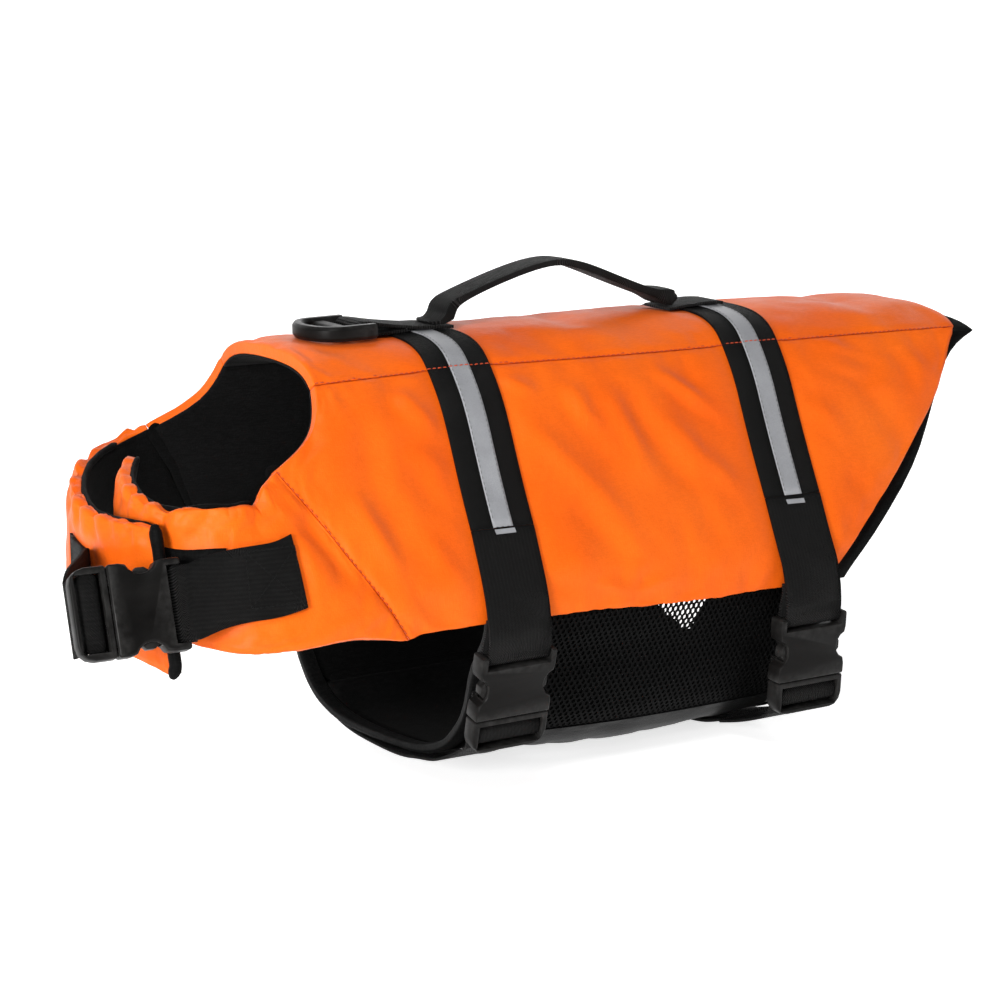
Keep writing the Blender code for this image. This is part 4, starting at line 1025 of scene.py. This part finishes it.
# %% [markdown]
# ## From a flat pattern to a thin sheet
# The same helper makes the net and the sheet of painted shade behind it: it takes flat spots and
# the faces between them, lays them on the belly, adds a second layer a little further in, and
# closes every open edge with a narrow wall. The rim of each hole is an open edge too, so the holes
# get their walls as well.


# %% Lay a flat pattern on the belly
def closed_shell(outer, inner, faces):
    """Two layers with the same faces, joined by a narrow wall along every open edge."""
    count = len(outer)
    rims = {}
    for corners in faces:
        for a, b in zip(corners, corners[1:] + corners[:1]):
            if (b, a) in rims:
                del rims[(b, a)]
            else:
                rims[(a, b)] = True
    walls = [(b, a, a + count, b + count) for a, b in rims]
    back = [tuple(c + count for c in reversed(corners)) for corners in faces]
    mesh = bpy.data.meshes.new("shell")
    mesh.from_pydata([tuple(p) for p in (*outer, *inner)], [],
                     [tuple(c) for c in faces] + back + walls)
    skin = bmesh.new()
    skin.from_mesh(mesh)
    bpy.data.meshes.remove(mesh)
    bmesh.ops.recalc_face_normals(skin, faces=skin.faces)
    return skin


def lay_pattern(name, side, spots, faces, depth, thick, finish):
    table, out, wide, long = belly_maps[side]
    spots = np.array(spots)
    face = read_table(table, wide, long, spots)
    outside = read_table(out, wide, long, spots)
    skin = closed_shell((face - outside * depth) / 1000, (face - outside * (depth + thick)) / 1000,
                        faces)
    piece = new_piece(name, skin, finish)
    keep_sharp(piece, 50)
    return piece


# %% Six-sided holes
PITCH = 3.5                           # mm from hole to hole
HOLE_ACROSS, HOLE_DOWN = 0.84, 1.22   # the holes are narrower and taller than even hexagons
RIM_ACROSS, RIM_DOWN = 1.6, 1.9       # mm along the edges that stay closed


def net_pattern(wide, long):
    radius, row_step = PITCH / math.sqrt(3), PITCH * math.sqrt(3) / 2
    spots, faces, known = [], [], {}

    def corner(u, v):
        u, v = min(max(u, 0.0), wide), min(max(v, 0.0), long)
        key = (round(u * 16), round(v * 16))
        if key not in known:
            known[key] = len(spots)
            spots.append((u, v))
        return known[key]

    holes = 0
    for row in range(int(long / row_step) + 1):
        for cell in range(int(wide / PITCH) + 1):
            u, v = (cell + 0.5 * (row % 2)) * PITCH, row * row_step
            if u > wide or v > long:
                continue
            rim = [corner(u + radius * math.sin(a), v + radius * math.cos(a))
                   for a in (math.radians(60 * k) for k in range(6))]
            inside = (RIM_ACROSS < u < wide - RIM_ACROSS and RIM_DOWN < v < long - RIM_DOWN)
            if len(set(rim)) < 6 or not inside:
                if len(set(rim)) > 2:      # at the edge the cell stays closed
                    faces.append([c for n, c in enumerate(rim) if c not in rim[:n]])
                continue
            open_share, twist = chance.uniform(0.56, 0.68), chance.uniform(-0.10, 0.10)
            du, dv = chance.uniform(-0.07, 0.07), chance.uniform(-0.07, 0.07)
            first = len(spots)
            for k in range(6):
                a = math.radians(60 * k) + twist
                spots.append((u + du + radius * open_share * math.sin(a) * HOLE_ACROSS,
                              v + dv + radius * open_share * math.cos(a) * HOLE_DOWN))
            faces += [[rim[k], rim[(k + 1) % 6], first + (k + 1) % 6, first + k] for k in range(6)]
            holes += 1
    return spots, faces, holes


for side, word in SIDES:
    wide, long = belly_maps[side][2:]
    spots, faces, holes = net_pattern(wide, long)
    net = lay_pattern(f"belly_mesh_{word}_net", side, spots, faces, 0.05, 0.6, NET_YARN)
    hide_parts("belly_mesh_" + word)
    print(net.name, holes, "holes,", len(net.data.polygons), "faces")

# %% [markdown]
# ## The painted shade behind the net
# A second, closed black sheet lies behind the net and makes it dark: painted shade for the inside
# of the jacket's hollow. It is cut away in a triangle under the hem, where daylight falls through
# both layers and the holes show bright.

# %% The sheet of painted shade, with its cut-away corner
GAP_CORNERS = [(-1, -114), (42, -114), (37, -131), (28, -150), (3, -130)]      # x, z in mm
SHADE_SHEET_STEP = 1.7                                                             # mm


def in_gap(x, z):
    inside = False
    for (ax, az), (bx, bz) in zip(GAP_CORNERS, GAP_CORNERS[1:] + GAP_CORNERS[:1]):
        if (az > z) != (bz > z) and x < ax + (z - az) * (bx - ax) / (bz - az):
            inside = not inside
    return inside


for side, word in SIDES:
    table, out, wide, long = belly_maps[side]
    across, down = int(wide / SHADE_SHEET_STEP), int(long / SHADE_SHEET_STEP)
    spots = [(wide * i / across, long * k / down)
             for i in range(across + 1) for k in range(down + 1)]
    laid = read_table(table, wide, long, np.array(spots))
    faces = []
    for i in range(across):
        for k in range(down):
            a = i * (down + 1) + k
            corners = [a, a + 1, a + down + 2, a + down + 1]
            x, _, z = laid[corners].mean(axis=0)
            if not in_gap(x, z):
                faces.append(corners)
    used = sorted({c for f in faces for c in f})
    place = {c: n for n, c in enumerate(used)}
    # the net's dark background: a black sheet of painted shade
    painted_shade_sheet = lay_pattern(f"belly_mesh_{word}_backing", side, [spots[c] for c in used],
                          [[place[c] for c in f] for f in faces], 1.05, 0.25, LINING)
    print(painted_shade_sheet.name, len(faces), "faces")

# %% [markdown]
# ## Buckles and leash ring
# The hard pieces keep their form; what makes them look moulded is the small round on every edge,
# where light gathers to a line. A bevel gives it. The new narrow faces are also what hands rub
# against, so they get a mesh value that the plastic finish reads: it makes them smoother there and
# paints them lighter, a painted highlight.


# %% Round the edges of the hard pieces
def moulded(node, body, width):
    skin = joined_skin(node)
    bmesh.ops.dissolve_limit(skin, angle_limit=math.radians(1.0), verts=skin.verts,
                             edges=skin.edges)
    part = new_piece(node + "_moulded", skin, PLASTIC, body)
    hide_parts(node)
    bevel = part.modifiers.new("round", "BEVEL")
    bevel.width, bevel.segments = width, 2
    bevel.limit_method, bevel.angle_limit = "ANGLE", math.radians(34)
    bevel.use_clamp_overlap = True
    bake_modifiers(part)
    keep_sharp(part, 40)
    # 1 on the rounded edges: there the plastic finish lowers the roughness and paints a lighter
    #                         highlight
    wear = part.data.attributes.new("edge_wear", "FLOAT", "POINT")
    directions = read_directions(part)
    spread = np.zeros(len(directions))
    ends = np.empty(len(part.data.edges) * 2, int)
    part.data.edges.foreach_get("vertices", ends)
    ends = ends.reshape(-1, 2)
    points = read_points(part)
    long = np.linalg.norm(points[ends[:, 0]] - points[ends[:, 1]], axis=1)
    bend = 1 - (directions[ends[:, 0]] * directions[ends[:, 1]]).sum(axis=1)
    near = (long < width * 2200) & (bend > 0.05)
    np.maximum.at(spread, ends[near].ravel(), 1.0)
    wear.data.foreach_set("value", spread.astype(np.float32))
    return part


hard = {}
for place in ("chest", "front", "rear"):
    for half in ("socket", "prong"):
        node = f"{place}_buckle_{half}"
        hard[node] = moulded(node, "jacket", 0.0006)
hard["leash_ring"] = moulded("leash_ring", "leash_ring", 0.0005)
print("hard pieces:", {n: len(p.data.polygons) for n, p in hard.items()})


# %% [markdown]
# ## Stitches
# A machine seam is a row of short threads that dive into the cloth. Each stitch is modelled: a
# small spindle, thick in the middle and thin at its ends, laid on whatever cloth is uppermost
# there. Lengths and directions differ a little, as on a hand-fed machine.


# %% A sewing machine
def resample(line, step):
    """The line again, as points that stand evenly spaced along it."""
    line = np.array(line, float)
    legs = np.linalg.norm(np.diff(line, axis=0), axis=1)
    marks = np.concatenate([[0], np.cumsum(legs)])
    count = max(2, int(marks[-1] / step))
    at = np.linspace(0, marks[-1], count)
    return np.stack([np.interp(at, marks, line[:, k]) for k in range(3)], axis=1)


def join_rings(skin, rings):
    """Faces from ring to ring make a tube, and its two ends are closed."""
    sides = len(rings[0])
    for one, two in zip(rings, rings[1:]):
        for n in range(sides):
            skin.faces.new((one[n], one[(n + 1) % sides], two[(n + 1) % sides], two[n]))
    skin.faces.new(rings[0][::-1])
    skin.faces.new(rings[-1])


# along a stitch: place, width and height as shares of its half length and its thickness
SPINDLE = ((-1.0, 0.35, -0.8), (-0.72, 0.85, 0.25), (0, 1.0, 0.75), (0.72, 0.85, 0.25),
           (1.0, 0.35, -0.8))


def sew(name, lines, cloth, out, finish, pitch=3.2, long=2.3, thick=0.32, lift=0.1,
        reach=14.0):
    """Rows of stitches along lines (mm), dropped on the cloth from outside, as one piece."""
    surface = surface_of(*cloth)
    skin = bmesh.new()
    made = 0
    for line in lines:
        spots = resample(line, pitch)
        for k in range(len(spots) - 1):
            middle = (spots[k] + spots[k + 1]) / 2
            side = Vector(out(middle)).normalized()
            start = Vector(middle) / 1000 + side * reach / 1000
            ahead = Vector(spots[k + 1] - spots[k]).normalized()
            step = side.cross(ahead).normalized() * 0.0007
            found = [surface.ray_cast(start + step * s, -side, 2.2 * reach / 1000) for s in (-1, 1)]
            found = [f for f in found if f[0] is not None]
            if not found:
                continue
            if len(found) == 2 and abs((found[0][0] - found[1][0]).dot(side)) > 0.0015:
                found = [max(found, key=lambda f: f[0].dot(side))]
            spot = sum((f[0] for f in found), Vector()) / len(found)
            face_out = sum((f[1] for f in found), Vector()).normalized()
            ahead = (ahead - face_out * ahead.dot(face_out)).normalized()
            ahead = (ahead + face_out.cross(ahead) * chance.uniform(-0.08, 0.08)).normalized()
            across = face_out.cross(ahead)
            half = long * chance.uniform(0.88, 1.08) / 2000
            rings = []
            for place, width, height in SPINDLE:
                centre = (spot + ahead * half * place
                          + face_out * (thick * height + lift) / 1000)
                rings.append([skin.verts.new(centre + (across * math.cos(a)
                                                       + face_out * math.sin(a))
                                             * thick * width / 1000)
                              for a in (2 * math.pi * n / 6 for n in range(6))])
            join_rings(skin, rings)
            made += 1
    bmesh.ops.recalc_face_normals(skin, faces=skin.faces)
    row = new_piece(name, skin, finish)
    print(name, made, "stitches")
    return row


def from_spine(p):
    return (0, p[1], 34)


def from_side(p):
    return (0, p[1], 8)


def pieces_called(*names):
    return [bpy.data.objects[name] for name in names]


BACK_STRIPS = pieces_called("front_back_strip_woven", "rear_back_strip_woven")
TAPES = list(tapes.values())
body_cloth = [pads[n] for n in ("top_panel", "side_panel_left", "side_panel_right")]
body_cloth += BACK_STRIPS + TAPES
sew("spine_seam_left_stitches", [SEAM_LEFT], body_cloth, from_spine, RED_THREAD)
sew("spine_seam_right_stitches", [SEAM_RIGHT], body_cloth, from_spine, RED_THREAD)
flap_cloth = [pads[n] for n in ("neck_flap_left", "neck_flap_right", "side_panel_left",
                                "side_panel_right")]
sew("diagonal_seam_stitches", [DIAGONAL_LEFT, DIAGONAL_RIGHT], flap_cloth, from_side,
    ORANGE_THREAD, pitch=3.4, long=2.4, thick=0.36)

# %% [markdown]
# ## Sewing on the straps
# Black rows hold the tape on its strip; a cross row ends strip and tape on each side, and a short
# stub of tape peeks out below it. The chest webbing is sewn on with a box and a cross, the
# strongest way to fix a strap.


# %% Rows along the tapes and across the straps
def over_the_back(x, half_angle=128, steps=70):
    """Points round the jacket at one x, from the left side over the back to the right."""
    line = []
    for angle in np.radians(np.linspace(-half_angle, half_angle, steps)):
        way = Vector((0, math.sin(angle), math.cos(angle)))
        start = Vector((x / 1000, 0, -0.040)) + way * 0.2
        spot = tape_skin.ray_cast(start, -way, 0.2)[0]
        if spot is not None:
            line.append(tuple(spot * 1000))
    return line


strap_cloth = BACK_STRIPS + TAPES + pieces_called(
    "front_left_webbing_woven", "rear_left_webbing_woven", "front_under_belly_webbing_woven",
    "rear_under_belly_webbing_woven")
tape_skin = surface_of(*TAPES)
tape_rows = [over_the_back(x + side * 5.2) for x in (-93, 99) for side in (-1, 1)]
sew("tape_edge_stitches", tape_rows, strap_cloth, lambda p: (0, p[1], p[2] + 40), GREY_THREAD,
    pitch=3.0, long=2.1, thick=0.22, lift=0.02, reach=6.0)
LEFT_ROWS = [[(-111.7, -92.0, -75.9), (-74.9, -92.2, -76.6)],
             [(80.1, -91.2, -81.8), (117.3, -92.4, -83.5)]]
cross_rows = LEFT_ROWS + [mirrored(row) for row in LEFT_ROWS]
sew("strap_cross_stitches", cross_rows, strap_cloth, lambda p: (0, p[1], 10), BLACK_THREAD,
    pitch=2.9, long=2.3, thick=0.26, lift=0.02)
BOX = [(-241.0, -88, -72.5), (-213.5, -90, -72), (-216.0, -100, -98.5), (-242.1, -96, -99.5)]
sew("chest_box_stitches", [BOX + BOX[:1], [BOX[0], BOX[2]], [BOX[1], BOX[3]]],
    pieces_called("chest_webbing_left_woven"), lambda p: (-0.35, -1, 0.25), BLACK_THREAD,
    pitch=2.6, long=2.2, thick=0.28, lift=0.08)


# %% Short ends of tape below the cross rows
PATCH_LONG, PATCH_WIDE = 7, 3      # points along and across a patch


def laid_patch(name, corners, cloth, out, thick, finish):
    """A small closed sheet between four corners, dropped on the cloth."""
    surface = surface_of(*cloth)
    a, b, c, d = (np.array(p, float) for p in corners)
    low, high = [], []
    for s in np.linspace(0, 1, PATCH_LONG):
        for t in np.linspace(0, 1, PATCH_WIDE):
            point = (a * (1 - s) + b * s) * (1 - t) + (d * (1 - s) + c * s) * t
            side = Vector(out(point)).normalized()
            start = Vector(point) / 1000 + side * 0.012
            spot, face_out, _, _ = surface.ray_cast(start, -side, 0.03)
            if spot is None:
                spot, face_out = Vector(point) / 1000, side
            low.append(spot + face_out * 0.0001)
            high.append(spot + face_out * (0.0001 + thick))
    faces = []
    for i in range(PATCH_LONG - 1):
        for k in range(PATCH_WIDE - 1):
            one = i * PATCH_WIDE + k
            faces.append((one, one + 1, one + PATCH_WIDE + 1, one + PATCH_WIDE))
    piece = new_piece(name, closed_shell(low, high, faces), finish)
    keep_sharp(piece)
    return piece


for word, left, right in (("front", (-98.4, -92.4, -77.2), (-86.4, -92.6, -77.4)),
                          ("rear", (93.4, -91.6, -82.9), (105.4, -92.0, -83.3))):
    corners = [left, right, (right[0] + 0.4, right[1], right[2] - 2.6),
               (left[0] + 0.4, left[1], left[2] - 2.6)]
    end = laid_patch(word + "_tape_end", corners, pieces_called(word + "_left_webbing_woven"),
                     lambda p: (0, -1, 0.2), 0.0005, TAPE)
print("tape ends laid")

# %% [markdown]
# ## Rolled edges
# Where orange ends and lining begins, the maker turned a strip of black cloth over the edge and
# sewed it down: it shows as a soft roll inside the neck and round the free end of the outer flap.
# A flat strip of the same cloth covers the slanted seams and the belly seams from inside. A tube
# follows each edge; its width wavers, as a sewn roll does.


# %% Rolls along the edges
def roll(name, line, inwards, wide, high, finish, slot, step=2.0, waver=0.12, sides=10,
         under=None):
    """A closed tube of oval section; inwards(point, ahead) gives the section's short axis."""
    spots = resample(line, step)
    ahead = np.gradient(spots, axis=0)
    ahead /= np.linalg.norm(ahead, axis=1, keepdims=True)
    skin = bmesh.new()
    rings = []
    turns = [2 * math.pi * k / sides for k in range(sides)]
    for n, (spot, way) in enumerate(zip(spots, ahead)):
        short = np.array(inwards(spot, way), float)
        short -= way * short.dot(way)
        short /= np.linalg.norm(short)
        long = np.cross(way, short)
        size = 1 + waver * noise.noise(Vector((n * step / 9.0, len(name), wide)))
        tip = min(1.0, 0.45 + 0.28 * min(n, len(spots) - 1 - n))      # the ends taper off
        section = [(long * math.cos(a) * wide + short * math.sin(a) * high) * size * tip
                   for a in turns]
        rings.append([skin.verts.new((spot + off) / 1000) for off in section])
    join_rings(skin, rings)
    bmesh.ops.recalc_face_normals(skin, faces=skin.faces)
    piece = new_piece(name, skin, finish)
    subdivide(piece, 1)
    return piece


def to_neck_axis(point, ahead):
    return (-225 - point[0], -point[1], 0)


def to_axis(point, ahead):
    return (0, -point[1], 0)


def shifted(line, inwards, far, down=0.0):
    """The line, moved inwards and down by so many mm."""
    moved = []
    for p in np.array(line, float):
        way = np.array(inwards(p, None), float)
        moved.append(p + way / np.linalg.norm(way) * far - np.array((0, 0, down)))
    return moved


for word, neck in (("left", NECK_LEFT), ("right", NECK_RIGHT)):
    roll(f"neck_flap_{word}_rim", shifted(neck[2:], to_neck_axis, 5.6, 0.6), to_neck_axis, 2.0,
         1.7, LINING, "black_cloth")
END_LINE = [(-277.6, -62.4, -58.5), (-276.6, -64.6, -72), (-275.4, -67.4, -92),
            (-274.2, -71.4, -114), (-272.9, -73.6, -130), (-274.4, -71.4, -136.4)]
roll("neck_flap_right_end_roll", END_LINE, lambda p, w: (0.95, 0.31, 0), 3.9, 3.1, LINING,
     "black_cloth")
for word, line in (("left", DIAGONAL_LEFT), ("right", DIAGONAL_RIGHT)):
    rise = np.array(line[0]) - line[1]
    line = [tuple(line[0] + rise / np.linalg.norm(rise) * 0.8), *line]
    roll(f"diagonal_seam_{word}_tape", shifted(line, to_axis, 8.2), to_axis, 5.2, 0.45, LINING,
         "black_cloth", waver=0.05, under=[f"side_lining_{word}_cloth"])


def to_belly_middle(point, ahead):
    return (0, -point[1], -120 - point[2])


for side, word in SIDES:      # the net is sewn to the belly panel over a tape
    table, out, _, _ = belly_maps[side]
    line = table[1:-1:4, -1] - out[1:-1:4, -1] * 2.3
    roll(f"belly_seam_{word}_tape", line, to_belly_middle, 5.2, 0.45, LINING, "black_cloth",
         waver=0.05, under=["belly_panel_cover"])
TAIL_LEFT = [(113.4, -104.3, -130.1), (121.7, -103.2, -122.3), (137, -100.8, -109.4),
             (170.4, -89.3, -83.1), (193.1, -80.1, -64.6), (220.2, -68.9, -40.4),
             (229.1, -64.1, -28.8), (236.3, -59.2, -18.6), (242.6, -54.8, -9.6), (249, -51, -2)]
# a thin pale tube along each tail edge of the orange cloth: a painted highlight on that edge
for word, line in (("left", TAIL_LEFT), ("right", mirrored(TAIL_LEFT))):
    roll(f"tail_edge_{word}_piping", shifted(line, to_axis, 5.6), to_axis, 0.5, 0.5, HIGHLIGHT_PAINTED_THREAD,
         "orange_cloth", step=4.0, waver=0.2, sides=6)
print("rolled edges done")

# %% [markdown]
# ## Floor, light and camera
# A plain pale floor that curves up into the backdrop and is lit from below like a light table. The
# key light stands low on the neck side, so that it grazes the panels: every crease gets a lit and a
# shaded flank, which a light beside the camera would wash out. A second light, high up, keeps the
# back as bright as the side, and a weak one fills the shade towards the tail. The camera stands in
# front of the neck, on the side with the buckles, a little above. Colours are shown as they are,
# without a film look, so that a strong orange keeps its strength.


# %% Studio
KEY_WATTS, HIGH_WATTS, FILL_WATTS, AIR = 31, 14, 2.5, 0.08
VIEW_TURN, VIEW_LIFT = math.radians(-32), math.radians(12)
# the floor, in metres: near edge, where its bend begins, the bend's radius, top, half width
NEAR, BEND, RADIUS, TOP, HALF_WIDTH = -9.0, 0.9, 0.8, 3.2, 8


def studio():
    floor_height = jacket_box[0].z
    profile = [(NEAR, 0.0), (BEND, 0.0)]
    profile += [(BEND + RADIUS * math.sin(a), RADIUS - RADIUS * math.cos(a))
                for a in np.linspace(0, math.pi / 2, 13)[1:]]
    profile += [(BEND + RADIUS, TOP)]
    skin = bmesh.new()
    rows = []
    for far, high in profile:
        row = []
        for wide in np.linspace(-HALF_WIDTH, HALF_WIDTH, 9):
            x = wide * math.cos(VIEW_TURN) - far * math.sin(VIEW_TURN)
            y = wide * math.sin(VIEW_TURN) + far * math.cos(VIEW_TURN)
            row.append(skin.verts.new((x, y, floor_height + high)))
        rows.append(row)
    for one, two in zip(rows, rows[1:]):
        for a, b, c, d in zip(one, one[1:], two[1:], two):
            skin.faces.new((a, b, c, d))
    mesh = bpy.data.meshes.new("studio_floor")
    skin.to_mesh(mesh)
    skin.free()
    mesh.shade_smooth()
    floor = bpy.data.objects.new("studio_floor", mesh)
    bpy.context.scene.collection.objects.link(floor)
    paper, tree, shader = new_finish("pale_paper", roughness=0.9, Specular_IOR_Level=0.0,
                                     Emission_Color=(1, 1, 1, 1), Emission_Strength=0.7)
    space = place_in_space(tree)
    tree.links.new(ramp(tree, noise_at(tree, space, 3, 3), [(0.3, (0.92,) * 3),
                                                            (0.7, (0.94,) * 3)]),
                   shader.inputs["Base Color"])
    mesh.materials.append(paper)


def soft_light(name, place, aim, size, watts):
    lamp = bpy.data.lights.new(name, "AREA")
    lamp.shape, lamp.size, lamp.size_y, lamp.energy = "RECTANGLE", size[0], size[1], watts
    light = bpy.data.objects.new(name, lamp)
    light.location = place
    light.rotation_mode = "QUATERNION"
    light.rotation_quaternion = (Vector(aim) - Vector(place)).to_track_quat("-Z", "Y")
    bpy.context.scene.collection.objects.link(light)


studio()
AIM = (-0.03, 0.0, -0.08)
soft_light("key_light", (-1.70, -0.90, 0.30), AIM, (0.6, 0.6), KEY_WATTS)
soft_light("high_light", (-0.75, -0.85, 1.35), AIM, (0.7, 0.7), HIGH_WATTS)
soft_light("fill_light", (1.05, -1.35, 0.45), AIM, (1.0, 1.2), FILL_WATTS)
world = bpy.data.worlds.new("studio_air")
world.use_nodes = True
air = world.node_tree.nodes["Background"]
air.inputs["Color"].default_value = (1, 1, 1, 1)
air.inputs["Strength"].default_value = AIR
bpy.context.scene.world = world
bpy.context.scene.view_settings.view_transform = "Standard"

# %% Camera
lens = bpy.data.cameras.new("camera")
lens.lens, lens.sensor_width = 97.2, 36.0
camera = bpy.data.objects.new("camera", lens)
bpy.context.scene.collection.objects.link(camera)
back = Vector((math.sin(VIEW_TURN) * math.cos(VIEW_LIFT),
               -math.cos(VIEW_TURN) * math.cos(VIEW_LIFT), math.sin(VIEW_LIFT)))
VIEW_CENTRE, VIEW_DISTANCE = (-0.0363, 0.0013, -0.0852), 1.51685
camera.location = Vector(VIEW_CENTRE) + back * VIEW_DISTANCE
camera.rotation_mode = "QUATERNION"
camera.rotation_quaternion = (-back).to_track_quat("-Z", "Y")
bpy.context.scene.camera = camera
print("camera at", [round(v, 3) for v in camera.location])
